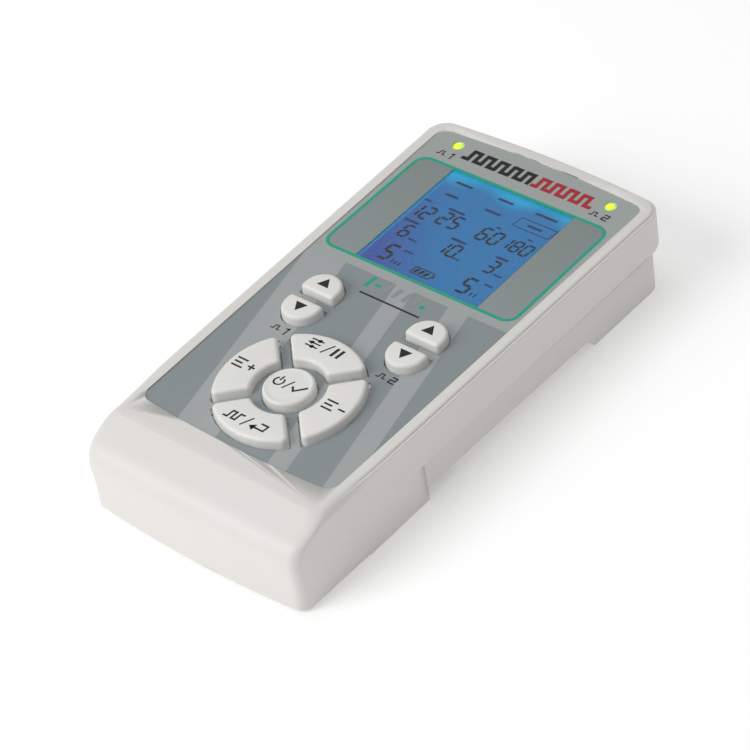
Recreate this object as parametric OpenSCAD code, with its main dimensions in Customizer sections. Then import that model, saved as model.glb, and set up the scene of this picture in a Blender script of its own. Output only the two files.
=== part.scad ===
// Handheld two-channel nerve and muscle stimulator.
// Frame: X across the case, Y from the nose to the display end, Z up.
// The origin is on the table, in the middle of the outline.

/* [Case] */
// Length over the nose and the far lip
case_l = 140; // [138:0.5:144]
// Half width of the printed overlay at the middle of the case
label_hw = 30.6; // [30.3:0.1:31]
// How much the half width grows for each millimetre along the case
taper = 0.016; // [0.01:0.001:0.02]
// Width of the rim band beside the overlay
rim_w = 2.8; // [2.4:0.1:3]
// How far the side panels stand proud of the rim band
panel_step = 0.65; // [0.4:0.05:0.8]
// Height of the top rim above the table
case_h = 22.3; // [22.2:0.1:23]
// Height of the seam between the two shells
seam_z = 11.1; // [10.9:0.1:11.3]
// Wall thickness
wall = 2; // [1.8:0.1:2.2]
// Thickness of the front plate behind the overlay
plate_t = 1.5; // [1.3:0.1:1.5]
// Radius of the shallow curve of both ends
end_r = 350; // [250:10:500]
// Corner radius of the outline
corner_r = 5; // [3:0.1:6]
// Chamfer that stands for the rounded top edge
edge = 0.5; // [0.3:0.1:0.8]

/* [Nose and feet] */
// Where the flat top ends and the nose begins
crease_y = -57.6; // [-59:0.1:-56]
// Slope of the nose below the crease, degrees
nose_slope = 24; // [18:1:28]
// Radius between the nose slope and the front face
nose_r = 7.5; // [6:0.5:9]
// Lean of the front face, degrees from upright
nose_lean = 4; // [3:0.5:6]
// End of the nose foot, where the underside steps up
step_y = -24.7; // [-26:0.1:-24]
// Start of the foot at the display end
far_foot_y = 38; // [36:0.5:40]
// Roof of the underside recess at the nose foot
recess_near_z = 3.8; // [3.6:0.1:4]
// Roof of the underside recess at the far foot
recess_far_z = 2.9; // [2.8:0.1:3.2]
// Rise of the nose foot towards the front
foot_rise = 0.8; // [0.4:0.1:1]
// How far the rear shell stays back under the far lip
lip = 2.9; // [2.5:0.1:3.2]

/* [Front panel] */
// Near edge of the overlay
label_near_y = -51.6; // [-52:0.1:-51]
// Far edge of the overlay
label_far_y = 66.7; // [66:0.1:67]
// Depth of the overlay surface below the rim
label_drop = 0.3; // [0.2:0.1:0.5]
// Thickness of the overlay film
label_t = 0.3; // [0.3:0.1:0.4]
// Half width of the clear display area
view_hw = 18.9; // [18:0.1:19]
// Near edge of the clear display area
view_near_y = 15.6; // [15.2:0.1:16]
// Far edge of the clear display area
view_far_y = 54.1; // [53.5:0.1:54.5]
// Distance of each status lamp from the middle
lamp_x = 23.8; // [23.5:0.1:25]
// Position of the status lamps along the case
lamp_y = 61.9; // [61.5:0.1:62.1]

/* [Keys] */
// Centre of the key ring along the case
ring_y = -30.7; // [-31:0.1:-30.4]
// Outer radius of the key ring
ring_ro = 18.6; // [18.2:0.1:18.8]
// Inner radius of the key ring
ring_ri = 8.9; // [8.7:0.1:9.2]
// Gap between neighbouring ring keys
ring_gap = 2.6; // [2.5:0.1:3]
// Radius of the middle key
ok_r = 6.6; // [6.2:0.1:6.7]
// Distance of the channel keys from the middle
channel_x = 16.2; // [15.8:0.1:16.6]
// Middle of each pair of channel keys along the case
channel_y = -3.65; // [-3.8:0.05:-3.4]
// Half width of a channel key
channel_hw = 5.4; // [5.2:0.1:5.6]
// Length of a channel key
channel_l = 7.7; // [7.5:0.1:7.9]
// Gap between the two keys of a pair
channel_gap = 2.6; // [2.3:0.1:2.8]
// Height of the key tops above the overlay
key_rise = 2.4; // [2:0.1:2.6]
// Travel of every key
key_travel = 0.6; // [0.4:0.1:0.6]

/* [Power and outputs] */
// Diameter of an AAA cell
cell_d = 10.5; // [9.5:0.1:10.5]
// Length of an AAA cell with its nub
cell_l = 44.5; // [43.3:0.1:44.5]
// Bore radius of an output socket, for a 3.5 mm plug
jack_r = 1.8; // [1.78:0.01:1.85]
// Depth of an output socket
jack_depth = 12; // [11:0.5:13]
// Distance of the output sockets from the middle
jack_x = 20; // [18:0.5:20.5]
// Radius of the charging pin
dc_pin_r = 0.65; // [0.5:0.05:0.7]
// Travel of the battery cover
cover_travel = 36; // [30:1:36]

/* [Hidden] */

$fn = 64;
eps = 0.01;
soft_fn = 32;
slack = 0.25;              // gap round a key in its hole
far_y = case_l / 2;
near_y = -far_y;
rear_far_y = far_y - lip;  // far end of the rear shell
panel_w = rim_w + panel_step;    // overlay edge to the side panel
big_x = 40;                // wider than the case, for cuts right across it
label_z = case_h - label_drop;
floor_z = label_z - label_t;     // floor of the overlay recess
plate_z = floor_z - plate_t;     // underside of the front plate
ledge_z = case_h - edge;         // top of the side panels
cheek_in = 3;              // side panel edge to the nose surface
board_z = plate_z - 4.2;         // upper face of the main board
board_t = 1.2;
board_low = board_z - board_t;
key_top = label_z + key_rise;
flange_t = 0.8;
flange_z = plate_z - 0.15 - flange_t;
flange_grow = 0.5;
stem_low = flange_z - 0.65;
dome_top = stem_low - key_travel - 0.1;
mat_t = 0.6;
dome_r = 2.8;
stem_r = 1.5;
ring_mid_r = (ring_ro + ring_ri) / 2;
cover_top = 2.6;
cover_hw = 28.4;
tongue_w = 1.2;            // how far the cover's tongues reach into the case
cover_gap = 0.2;
cover_near_y = near_y + 5;
cover_far_y = step_y;
holder_low = 2.95;
cell_z = 8.2;
cell_pitch = cell_d + 0.4;
cell_mid_y = -44.8;
bay_hw = cell_l / 2 + 2.2;
bay_hl = cell_pitch + cell_d / 2 + 0.3;
holder_wall = 0.9;
holder_roof = 0.7;
holder_top = 14.4;
jack_z = 5.7;
jack_body = [7, 14, 6];
nose_ring_r = 2.95;        // round front of a socket in the end wall
socket_board_z = jack_z + jack_body[2] / 2 + 0.2;
socket_board_t = 1.2;
tongue_far_y = 43.5;       // the tongues stop before the socket board

// Middles of the screws and their sizes: [shank radius, head radius, head height]
case_screw_x = 28.4;
case_screw_ys = [-17, 56.5];
board_screw_spots = [[24.5, -21.5], [26.8, 7.8]];
holder_screw_x = 28;
holder_screw_y = -56;
holder_ear_z = 8.2;
holder_ear_t = 1.2;
screw_big = [1.2, 2.4, 1.7];
screw_small = [1.0, 1.9, 1.4];

// Stem positions of the keys, used by the mat and the pills
ring_spots = [for (a = [0:90:270]) [ring_mid_r * cos(a), ring_y + ring_mid_r * sin(a)]];
channel_spots = [
    for (s = [-1, 1]) for (u = [-1, 1])
        [s * channel_x, channel_y + u * (channel_gap / 2 + channel_l * 0.45)]
];
key_spots = concat([[0, ring_y]], ring_spots, channel_spots);

// ---- outlines ----

// Half width of the overlay at a place along the case
function half_at(y) = label_hw + taper * y;

// How far an end curve has fallen back at a distance from the middle
function end_drop(x) = end_r - sqrt(pow(end_r, 2) - pow(x, 2));

function arc_points(c, r, a0, a1, n) =
    [for (i = [0:n]) let (a = a0 + (a1 - a0) * i / n) [c[0] + r * cos(a), c[1] + r * sin(a)]];

// Right-hand half of an end: corner arc, then half of the shallow end curve
function end_half(half, end_y, r) =
    let (cy = sqrt(pow(end_r - r, 2) - pow(half - r, 2)),
         a = atan2(cy, half - r))
    concat(arc_points([half - r, end_y - end_r + cy], r, 0, a, 8),
           [for (i = [1:6]) let (b = a + (90 - a) * i / 6)
               [end_r * cos(b), end_y - end_r + end_r * sin(b)]]);

function mirror_x(points) =
    [for (i = [len(points) - 2:-1:0]) [-points[i][0], points[i][1]]];

function flip_y(points) = [for (i = [len(points) - 1:-1:0]) [points[i][0], -points[i][1]]];

// Outline with rounded corners, sides that follow the taper at a distance
// from the overlay edge, and two ends that bulge a little
function plan(off, y0, y1, r) =
    let (far = end_half(half_at(y1) + off, y1, r),
         near = flip_y(end_half(half_at(y0) + off, -y0, r)))
    concat(far, mirror_x(far), mirror_x(near), near);

// Rise of the nose foot: level near the step, then sloping up to the front
function foot_z(y) = y > step_y - 6 ? 0 : foot_rise * (step_y - 6 - y) / (far_y + step_y - 6);

// Side view of the outside, drawn as [y, z]; inset moves every face inwards
function nose_profile(inset) =
    let (slope = nose_slope,
         lean = nose_lean,
         low = [near_y + inset / cos(lean), foot_z(near_y)],
         top = [crease_y + inset * tan(slope / 2), case_h - inset],
         turn = 90 - lean - slope,
         meet_t = (low[0] - top[0] + tan(lean) * (top[1] - low[1]))
                  / (-cos(slope) + tan(lean) * sin(slope)),
         meet = [top[0] - meet_t * cos(slope), top[1] - meet_t * sin(slope)],
         r = nose_r - inset,
         t = r * tan(turn / 2),
         first = meet + t * [cos(slope), sin(slope)],
         c = first + r * [sin(slope), -cos(slope)])
    concat([top],
           arc_points(c, r, 90 + slope, 180 - lean, 10),
           [low]);

module side_cut(points, half = big_x) {
    rotate([90, 0, 90]) translate([0, 0, -half]) linear_extrude(2 * half) polygon(points);
}

// Space inside the side view, down to the sloping foot, grown or shrunk by inset
module side_body(inset, z_low = 0) {
    side_cut(concat(
        nose_profile(inset),
        z_low > 0 ? [[near_y + inset, z_low]]
                  : [[step_y - 6, 0]],
        [[far_y + 1, z_low], [far_y + 1, case_h - inset]]));
}

module plan_body(off, y0, y1, r, z0, z1) {
    translate([0, 0, z0]) linear_extrude(z1 - z0) polygon(plan(off, y0, y1, r));
}

module box(x0, x1, y0, y1, z0, z1) {
    translate([x0, y0, z0]) cube([x1 - x0, y1 - y0, z1 - z0]);
}

module pin(x, y, z0, z1, r) {
    translate([x, y, z0]) cylinder(r = r, h = z1 - z0);
}

module both_sides() {
    children();
    mirror([1, 0, 0]) children();
}

// ---- key outlines ----

module ring_sector(angle, grow) {
    rotate(angle) difference() {
        intersection() {
            circle(r = ring_ro + grow);
            polygon([[0, 0], [40, -40], [40, 40]]);
        }
        circle(r = ring_ri - grow);
        for (s = [-1, 1]) rotate(45 * s) translate([0, s > 0 ? -(ring_gap / 2 - grow) : -1])
            square([40, ring_gap / 2 - grow + 1]);
    }
}

module channel_outline(up, grow) {
    arc_y = channel_l - channel_hw;
    mirror([0, up ? 0 : 1]) translate([0, channel_gap / 2]) {
        translate([0, arc_y]) intersection() {
            circle(r = channel_hw + grow);
            translate([-20, 0]) square([40, 20]);
        }
        translate([-channel_hw - grow, -grow]) square([2 * (channel_hw + grow), arc_y + grow]);
    }
}

module key_outline(name, grow) {
    if (name == "ok") translate([0, ring_y]) circle(r = ok_r + grow);
    if (name == "right") translate([0, ring_y]) ring_sector(0, grow);
    if (name == "far") translate([0, ring_y]) ring_sector(90, grow);
    if (name == "left") translate([0, ring_y]) ring_sector(180, grow);
    if (name == "near") translate([0, ring_y]) ring_sector(270, grow);
    if (name == "1up") translate([-channel_x, channel_y]) channel_outline(true, grow);
    if (name == "1down") translate([-channel_x, channel_y]) channel_outline(false, grow);
    if (name == "2up") translate([channel_x, channel_y]) channel_outline(true, grow);
    if (name == "2down") translate([channel_x, channel_y]) channel_outline(false, grow);
}

KEY_NAMES = ["ok", "right", "far", "left", "near", "1up", "1down", "2up", "2down"];

module key_holes(z0, z1) {
    for (k = KEY_NAMES) translate([0, 0, z0]) linear_extrude(z1 - z0) key_outline(k, slack);
}

// A key: cap through the plate, flange under it, and a stem over its dome
module key_cap(name, spot) {
    color("whitesmoke") {
        translate([0, 0, flange_z + flange_t - eps])
            linear_extrude(key_top - flange_z - flange_t + eps) key_outline(name, 0);
        translate([0, 0, flange_z]) linear_extrude(flange_t) key_outline(name, slack + flange_grow);
        pin(spot[0], spot[1], stem_low, flange_z + eps, stem_r);
    }
}

// ---- case ----

// Outside of the whole case as one solid
module case_outside() {
    intersection() {
        side_body(0);
        hull() {
            plan_body(rim_w, near_y, far_y, corner_r, 0, case_h - edge);
            plan_body(rim_w - edge, near_y + edge, far_y - edge, corner_r - edge, 0, case_h);
        }
    }
    // side panels, proud of the rim band and set back from the nose
    intersection() {
        side_body(cheek_in);
        difference() {
            plan_body(panel_w, near_y, far_y, corner_r, 0, ledge_z);
            plan_body(0, near_y - 9, far_y + 9, corner_r, -1, case_h);
        }
    }
    // the panels again behind the nose, where they reach up to the ledge
    intersection() {
        box(-big_x, big_x, crease_y + 12, far_y, 0, ledge_z);
        plan_body(panel_w, near_y, far_y, corner_r, 0, ledge_z);
    }
}

// The space of the rear shell and the space behind the far lip
module rear_cutter() {
    box(-big_x, big_x, step_y, far_y + 1, -1, seam_z);
}

module front_case() {
    color("gainsboro") difference() {
        union() {
            difference() {
                case_outside();
                // inside of the nose and of the frame
                intersection() {
                    side_body(wall, cover_top + cover_gap);
                    plan_body(rim_w - wall, near_y + wall, rear_far_y - wall, corner_r - wall,
                              cover_top + cover_gap, plate_z);
                }
                rear_cutter();
            }
            // cross wall that closes the battery bay towards the electronics
            intersection() {
                box(-big_x, big_x, step_y - wall, step_y, cover_top + cover_gap, board_low - 0.4);
                plan_body(rim_w - wall / 2, near_y, far_y, corner_r, 0, board_low);
            }
            // case screw posts
            both_sides() for (y = case_screw_ys) pin(case_screw_x, y, seam_z, plate_z + eps, 2.8);
            // posts the main board is screwed to
            both_sides() for (p = board_screw_spots) pin(p[0], p[1], board_z, plate_z + eps, 2.2);
            // posts for the cell holder
            both_sides() pin(holder_screw_x, holder_screw_y, holder_ear_z + holder_ear_t,
                             plate_z, 2.2);
        }
        // recess for the overlay
        plan_body(0, label_near_y, label_far_y, 3.2, floor_z, case_h + 1);
        // pocket and opening for the display window
        box(-view_hw - 1.6, view_hw + 1.6, view_near_y - 1.6, view_far_y + 1.6,
            floor_z - 0.8, floor_z + 1);
        box(-view_hw - 0.2, view_hw + 0.2, view_near_y - 0.2, view_far_y + 0.2,
            plate_z - 1, floor_z + 1);
        key_holes(plate_z - 1, floor_z + 1);
        both_sides() pin(lamp_x, lamp_y, plate_z - 1, floor_z + 1, 1.7);
        // screw pilot holes
        both_sides() for (y = case_screw_ys)
            pin(case_screw_x, y, seam_z - 1, plate_z - 1, screw_big[0]);
        both_sides() for (p = board_screw_spots)
            pin(p[0], p[1], board_z - 1, plate_z - 0.5, screw_small[0]);
        both_sides() pin(holder_screw_x, holder_screw_y, holder_ear_z, 16, screw_small[0]);
        // opening for the battery cover, with a groove for its tongue on each side
        box(-cover_hw - cover_gap, cover_hw + cover_gap, cover_near_y - cover_gap, step_y + 1,
            -1, cover_top + cover_gap);
        box(-cover_hw - tongue_w - cover_gap, cover_hw + tongue_w + cover_gap,
            cover_near_y - cover_gap, step_y + 1, cover_top - 1, cover_top + cover_gap);
    }
}

// Side view of the recess and the far foot, drawn as [y, z], moved up by a wall
function underside(up) = [
    [step_y - 1, -2], [step_y - 1, recess_near_z + up],
    [far_foot_y - 2.2 + up * 0.8, recess_far_z + up],
    [far_foot_y + up * 0.8, up], [far_y + 1, up], [far_y + 1, -2]
];

module rear_case() {
    socket_xs = [-jack_x, 0, jack_x];
    color("gainsboro") difference() {
        union() {
            difference() {
                intersection() {
                    plan_body(panel_w, near_y, rear_far_y, corner_r, 0, seam_z);
                    box(-big_x, big_x, step_y, far_y, 0, seam_z);
                }
                intersection() {
                    plan_body(panel_w - wall, near_y, rear_far_y - wall, corner_r - wall,
                              0, seam_z + 1);
                    difference() {
                        box(-big_x, big_x, step_y + wall, far_y, 0, seam_z + 1);
                        side_cut(underside(wall));
                    }
                }
            }
            // tongues along both sides that locate the front shell
            intersection() {
                difference() {
                    union() {
                        plan_body(rim_w - wall - 0.1, near_y, rear_far_y - wall - 0.1,
                                  corner_r - wall, seam_z - eps, seam_z + 1.2);
                        plan_body(panel_w - wall + eps, near_y, rear_far_y - wall,
                                  corner_r - wall, seam_z - 3, seam_z);
                    }
                    plan_body(rim_w - wall - 1.1, near_y, rear_far_y - wall - 1.1,
                              corner_r - wall - 1, 0, seam_z + 2);
                    // room for the screw posts of the front shell
                    both_sides() for (y = case_screw_ys)
                        pin(case_screw_x, y, seam_z, seam_z + 2, 3);
                }
                box(-big_x, big_x, step_y + wall - eps, tongue_far_y, 0, seam_z + 2);
            }
            both_sides() for (y = case_screw_ys) pin(case_screw_x, y, 1, seam_z, 2.8);
            // cradles under the sockets and the pads that carry their board
            for (x = socket_xs) box(x - 3.2, x + 3.2, 52, 64, 1, jack_z - jack_body[2] / 2);
            both_sides() box(10, 12, 45, 49, 1, socket_board_z);
        }
        side_cut(underside(0));
        both_sides() for (y = case_screw_ys) {
            pin(case_screw_x, y, -1, seam_z + 1, screw_big[0] + 0.15);
            pin(case_screw_x, y, -1, recess_near_z + 1.6, screw_big[1] + 0.3);
        }
        // holes for the sockets in the end wall
        for (x = socket_xs) translate([x, rear_far_y - 6, jack_z]) rotate([-90, 0, 0])
            cylinder(r = nose_ring_r + 0.15, h = 10);
    }
}

module battery_cover() {
    pocket_z = 1.8;
    grooves = 5;
    groove_pitch = 2.2;
    color("gainsboro") difference() {
        union() {
            side_cut([[cover_near_y, cover_top], [cover_near_y, foot_z(cover_near_y)],
                      [step_y - 6, 0], [cover_far_y, 0], [cover_far_y, cover_top]], cover_hw);
            // tongues that run in the grooves of the case
            box(-cover_hw - tongue_w, cover_hw + tongue_w, cover_near_y, cover_far_y - 0.5,
                cover_top - 0.8, cover_top);
        }
        box(-cover_hw + 2.5, cover_hw - 2.5, cover_near_y + 2, cover_far_y - 2.5,
            pocket_z, cover_top + 1);
        // finger grooves across the thumb area
        for (i = [0:grooves - 1]) {
            y = step_y - 6 - groove_pitch * i;
            translate([-9, y, -0.5 + foot_z(y)]) rotate([0, 90, 0])
                cylinder(r = 0.9, h = 18, $fn = 24);
        }
    }
}

// ---- front panel and display ----

module front_overlay() {
    color("lightslategray") difference() {
        plan_body(-0.1, label_near_y + 0.1, label_far_y - 0.1, 3.1, floor_z, label_z);
        key_holes(floor_z - 1, label_z + 1);
        box(-view_hw, view_hw, view_near_y, view_far_y, floor_z - 1, label_z + 1);
        both_sides() pin(lamp_x, lamp_y, floor_z - 1, label_z + 1, 1.7);
    }
}

module display_window() {
    color("lightblue", 0.4) {
        box(-view_hw + 0.05, view_hw - 0.05, view_near_y + 0.05, view_far_y - 0.05,
            floor_z - 0.1, label_z);
        box(-view_hw - 1.4, view_hw + 1.4, view_near_y - 1.4, view_far_y + 1.4,
            floor_z - 0.75, floor_z - 0.05);
    }
}

glass_hw = view_hw + 3.1;
glass_y0 = view_near_y - 3.9;
glass_y1 = view_far_y + 3.9;
glass_top = plate_z - 0.2;
glass_low = glass_top - 2;

module lcd_glass() {
    color("royalblue") {
        box(-glass_hw, glass_hw, glass_y0, glass_y1, glass_low, glass_top - 1);
        box(-glass_hw, glass_hw, glass_y0 + 2.4, glass_y1 - 2.4, glass_top - 1 - eps, glass_top);
    }
}

module lcd_holder() {
    color("white") difference() {
        box(-glass_hw - 1.4, glass_hw + 1.4, glass_y0 - 1.4, glass_y1 + 1.4, board_z, glass_top - 0.3);
        box(-glass_hw - 0.1, glass_hw + 0.1, glass_y0 - 0.1, glass_y1 + 0.1,
            glass_low, glass_top + 1);
        box(-glass_hw + 1.2, glass_hw - 1.2, glass_y0 + 0.3, glass_y1 - 0.3,
            board_z - 1, glass_top);
    }
}

module light_guide() {
    color("azure") box(-glass_hw + 1.5, glass_hw - 1.5, glass_y0 + 3.2, glass_y1 - 3.2,
                       board_z + 0.1, glass_low - 0.1);
}

module connector_strips() {
    color("dimgray") for (y = [glass_y0 + 0.6, glass_y1 - 2.4])
        box(-glass_hw + 2, glass_hw - 2, y, y + 1.8, board_z, glass_low);
}

module lamp(x) {
    color("yellowgreen") translate([x, lamp_y, 0]) {
        pin(0, 0, board_z + 1, label_z - 1.1, 1.5);
        pin(0, 0, board_z + 1, board_z + 2, 1.9);
        intersection() {
            translate([0, 0, label_z - 1.2]) sphere(r = 1.5);
            pin(0, 0, label_z - 1.2, label_z + 1, 2);
        }
        for (s = [-1, 1]) pin(s * 1.1, 0, board_low - 1, board_z + 1.1, 0.25);
    }
}

// ---- keypad ----

module key_mat() {
    mat_hw = channel_x + channel_hw;
    color("darkgray") difference() {
        union() {
            box(-mat_hw, mat_hw, ring_y - ring_ro, channel_y + channel_l + 1,
                board_z, board_z + mat_t);
            for (p = key_spots) pin(p[0], p[1], board_z, dome_top, dome_r);
        }
        for (p = key_spots) pin(p[0], p[1], board_z - 1, dome_top - 0.6, dome_r - 0.8);
        both_sides() pin(board_screw_spots[0][0], board_screw_spots[0][1],
                         board_z - 1, board_z + 2, 2.5);
    }
}

module contact_pills() {
    color("black") for (p = key_spots) pin(p[0], p[1], dome_top - 0.85, dome_top - 0.6, 1.3);
}

// ---- boards ----

module main_board() {
    color("seagreen") difference() {
        plan_body(-0.6, -50, rear_far_y - wall - 0.8, 2, board_low, board_z);
        both_sides() for (y = case_screw_ys)
            hull() for (dx = [0, 6]) pin(case_screw_x + dx, y, board_low - 1, board_z + 1, 3.2, $fn = soft_fn);
        both_sides() for (p = board_screw_spots) pin(p[0], p[1], board_low - 1, board_z + 1, 1.2);
        both_sides() for (s = [-1, 1])
            pin(lamp_x + s * 1.1, lamp_y, board_low - 1, board_z + 1, 0.3);
    }
}

module socket_board() {
    color("seagreen") box(-24.4, 24.4, 44.5, rear_far_y - wall - 1.4,
                          socket_board_z, socket_board_z + socket_board_t);
}

module board_header() {
    color("black") box(-10.2, 10.2, 46, 48.5, socket_board_z + socket_board_t, board_low);
}

module chip(x, y, lx, ly, t) {
    box(x - lx / 2, x + lx / 2, y - ly / 2, y + ly / 2, board_low - t, board_low - 0.1);
    // gull-wing legs along both long sides
    pitch = 1.27;
    n = floor((ly - 0.8) / pitch);
    for (i = [0:n - 1]) {
        leg_y = y + (i - (n - 1) / 2) * pitch;
        box(x - lx / 2 - 1, x + lx / 2 + 1, leg_y - 0.2, leg_y + 0.2,
            board_low - 0.3, board_low);
    }
}

module microcontroller() {
    color("black") chip(0, -8, 10, 12, 1.6);
}

module driver_chips() {
    color("black") for (x = [-20, 20]) chip(x, -4, 4, 10, 1.7);
}

module transformer(x) {
    color("goldenrod") {
        pin_len = 0.6;
        box(x - 7, x + 7, 6, 20, board_low - 1.6, board_low - pin_len);
        box(x - 5.2, x + 5.2, 7.8, 18.2, board_low - 7.2, board_low - 1.6 + eps);
        box(x - 7, x + 7, 6, 20, board_low - 8.6, board_low - 7.2 + eps);
        for (sx = [-1, 1]) for (y = [8, 13, 18])
            pin(x + sx * 5.6, y, board_low - pin_len - eps, board_low, 0.35);
    }
}

module boost_inductor() {
    color("dimgray") {
        pin(0, 12, board_low - 5, board_low - 4.2, 4);
        pin(0, 12, board_low - 4.2 - eps, board_low - 0.8, 2.8);
        pin(0, 12, board_low - 0.8 - eps, board_low, 4);
    }
}

module electrolytic_capacitors() {
    color("navy") for (p = [[-20, 30], [-11, 30], [20, 30]]) pin(p[0], p[1], board_low - 7, board_low, 3.2);
}

module buzzer() {
    color("black") difference() {
        pin(8, 32, board_low - 5.5, board_low, 6);
        pin(8, 32, board_low - 6, board_low - 4.8, 1.2);
    }
}

module crystal() {
    color("silver") hull() for (s = [-1, 1])
        pin(s * 3.2, 1.2, board_low - 3.4, board_low, 2.2, $fn = soft_fn);
}

// ---- sockets ----

// Body under the socket board with a round front in the end wall
module socket_shell(x, half_w, length, face_y) {
    box(x - half_w, x + half_w, face_y - 3 - length, face_y - 3,
        jack_z - jack_body[2] / 2, jack_z + jack_body[2] / 2);
    translate([x, face_y - 3 - eps, jack_z]) rotate([-90, 0, 0])
        cylinder(r = nose_ring_r, h = 3 + eps);
}

module output_socket(x) {
    face_y = rear_far_y - end_drop(jack_x) + 0.1;
    color("black") difference() {
        socket_shell(x, jack_body[0] / 2, jack_body[1] - 3, face_y);
        translate([x, face_y - jack_depth, jack_z]) rotate([-90, 0, 0])
            cylinder(r = jack_r, h = jack_depth + 1);
    }
}

module charging_socket() {
    face_y = rear_far_y + 0.1;
    color("black") {
        difference() {
            socket_shell(0, 4.2, 9, face_y);
            translate([0, face_y - 8.8, jack_z]) rotate([-90, 0, 0]) cylinder(r = 2, h = 10);
        }
        translate([0, face_y - 9, jack_z]) rotate([-90, 0, 0]) cylinder(r = dc_pin_r, h = 8.2);
    }
}

// ---- battery bay ----

module cell_holder() {
    color("dimgray") difference() {
        union() {
            box(-bay_hw - holder_wall, bay_hw + holder_wall,
                cell_mid_y - bay_hl - holder_wall, cell_mid_y + bay_hl + holder_wall,
                holder_low, holder_top);
            // ears screwed to the posts of the front shell
            both_sides() difference() {
                hull() {
                    translate([holder_screw_x, holder_screw_y, holder_ear_z])
                        cylinder(r = 2.3, h = holder_ear_t, $fn = soft_fn);
                    box(bay_hw, bay_hw + 0.8, holder_screw_y - 4, holder_screw_y + 4,
                        holder_ear_z, holder_ear_z + holder_ear_t);
                }
                box(0, bay_hw + 0.5, -100, 0, 0, 30);
            }
        }
        box(-bay_hw, bay_hw, cell_mid_y - bay_hl, cell_mid_y + bay_hl,
            0, holder_top - holder_roof);
        both_sides() pin(holder_screw_x, holder_screw_y, 0, 20, screw_small[0] + 0.15);
    }
}

// Cell i of three, with its nub towards side
module cell(i, side) {
    nub_l = 0.8;
    body_l = cell_l - nub_l;
    x_plate = bay_hw - 0.4;
    color("steelblue") translate([0, cell_mid_y + (i - 1) * cell_pitch, cell_z])
        mirror([side > 0 ? 0 : 1, 0, 0]) translate([x_plate, 0, 0]) rotate([0, -90, 0]) {
            cylinder(r = 1.9, h = nub_l + eps);
            translate([0, 0, nub_l]) cylinder(r = cell_d / 2, h = body_l);
        }
}

function cell_side(i) = i == 1 ? -1 : 1;

// Cone-shaped coil as a swept tube: rings of points along a helix
module coil(r0, r1, length, turns, wire_r) {
    steps = turns * 14;
    sides = 8;
    points = [
        for (i = [0:steps]) let (t = i / steps, a = 360 * turns * t, r = r0 + (r1 - r0) * t)
            for (j = [0:sides - 1]) let (b = 360 * j / sides)
                [(r + wire_r * cos(b)) * cos(a), (r + wire_r * cos(b)) * sin(a),
                 wire_r + length * t + wire_r * sin(b)]
    ];
    walls = [
        for (i = [0:steps - 1]) for (j = [0:sides - 1]) let (k = (j + 1) % sides)
            each [[i * sides + j, (i + 1) * sides + j, i * sides + k],
                  [i * sides + k, (i + 1) * sides + j, (i + 1) * sides + k]]
    ];
    ends = [[for (j = [0:sides - 1]) j],
            [for (j = [sides - 1:-1:0]) steps * sides + j]];
    polyhedron(points, concat(walls, ends));
}

module cell_springs() {
    gap = 2 * bay_hw - 0.4 - cell_l;
    color("silver") for (i = [0:2])
        translate([-cell_side(i) * bay_hw, cell_mid_y + (i - 1) * cell_pitch, cell_z])
            rotate([0, cell_side(i) * 90, 0]) {
                translate([0, 0, 0.4]) coil(3.6, 2.2, gap - 1.5, 4, 0.3);
            }
}

// Contact plates: a single at each end of the row, doubles that join two cells
module cell_plates() {
    plate_half = 3.9;
    h0 = cell_z - 4;
    h1 = cell_z + 4;
    y1 = cell_mid_y - cell_pitch;
    y3 = cell_mid_y + cell_pitch;
    color("silver") {
        for (s = [-1, 1]) {
            x0 = s > 0 ? bay_hw - 0.4 : -bay_hw;
            single = s > 0 ? y3 : y1;
            pair_low = s > 0 ? y1 : cell_mid_y;
            box(x0, x0 + 0.4, single - plate_half, single + plate_half, h0, h1);
            box(x0, x0 + 0.4, pair_low - plate_half, pair_low + cell_pitch + plate_half, h0, h1);
        }
    }
}

// ---- screws ----

module screw(x, y, z_head, length, sizes) {
    difference() {
        union() {
            pin(x, y, z_head, z_head + sizes[2], sizes[1]);
            pin(x, y, z_head + sizes[2] - eps, z_head + sizes[2] + length, sizes[0]);
        }
        for (a = [0, 90]) translate([x, y, z_head]) rotate(a)
            cube([sizes[1] * 1.3, 0.5, 1.2], center = true);
    }
}

module case_screws() {
    color("dimgray") both_sides() for (y = case_screw_ys)
        screw(case_screw_x, y, recess_near_z + 1.6 - screw_big[2], 12, screw_big);
}

module board_screws() {
    color("silver") both_sides() for (p = board_screw_spots)
        screw(p[0], p[1], board_low - screw_small[2], 4.6, screw_small);
}

module holder_screws() {
    color("silver") both_sides()
        screw(holder_screw_x, holder_screw_y, holder_ear_z - screw_small[2], 6, screw_small);
}

front_case();
rear_case();
battery_cover();
front_overlay();
display_window();
lcd_glass();
lcd_holder();
light_guide();
connector_strips();
lamp(-lamp_x);  // channel_1_lamp
lamp(lamp_x);  // channel_2_lamp
key_cap("1up", channel_spots[1]);  // channel_1_up_key
key_cap("1down", channel_spots[0]);  // channel_1_down_key
key_cap("2up", channel_spots[3]);  // channel_2_up_key
key_cap("2down", channel_spots[2]);  // channel_2_down_key
key_cap("far", ring_spots[1]);  // set_key
key_cap("left", ring_spots[2]);  // program_up_key
key_cap("right", ring_spots[0]);  // program_down_key
key_cap("near", ring_spots[3]);  // mode_key
key_cap("ok", [0, ring_y]);  // ok_key
key_mat();
contact_pills();
main_board();
socket_board();
board_header();
microcontroller();
driver_chips();
transformer(-12.5);  // output_transformer_1
transformer(12.5);  // output_transformer_2
boost_inductor();
electrolytic_capacitors();
buzzer();
crystal();
output_socket(-jack_x);  // output_socket_1
output_socket(jack_x);  // output_socket_2
charging_socket();
cell_holder();
cell(0, cell_side(0));  // cell_1
cell(1, cell_side(1));  // cell_2
cell(2, cell_side(2));  // cell_3
cell_springs();
cell_plates();
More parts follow.
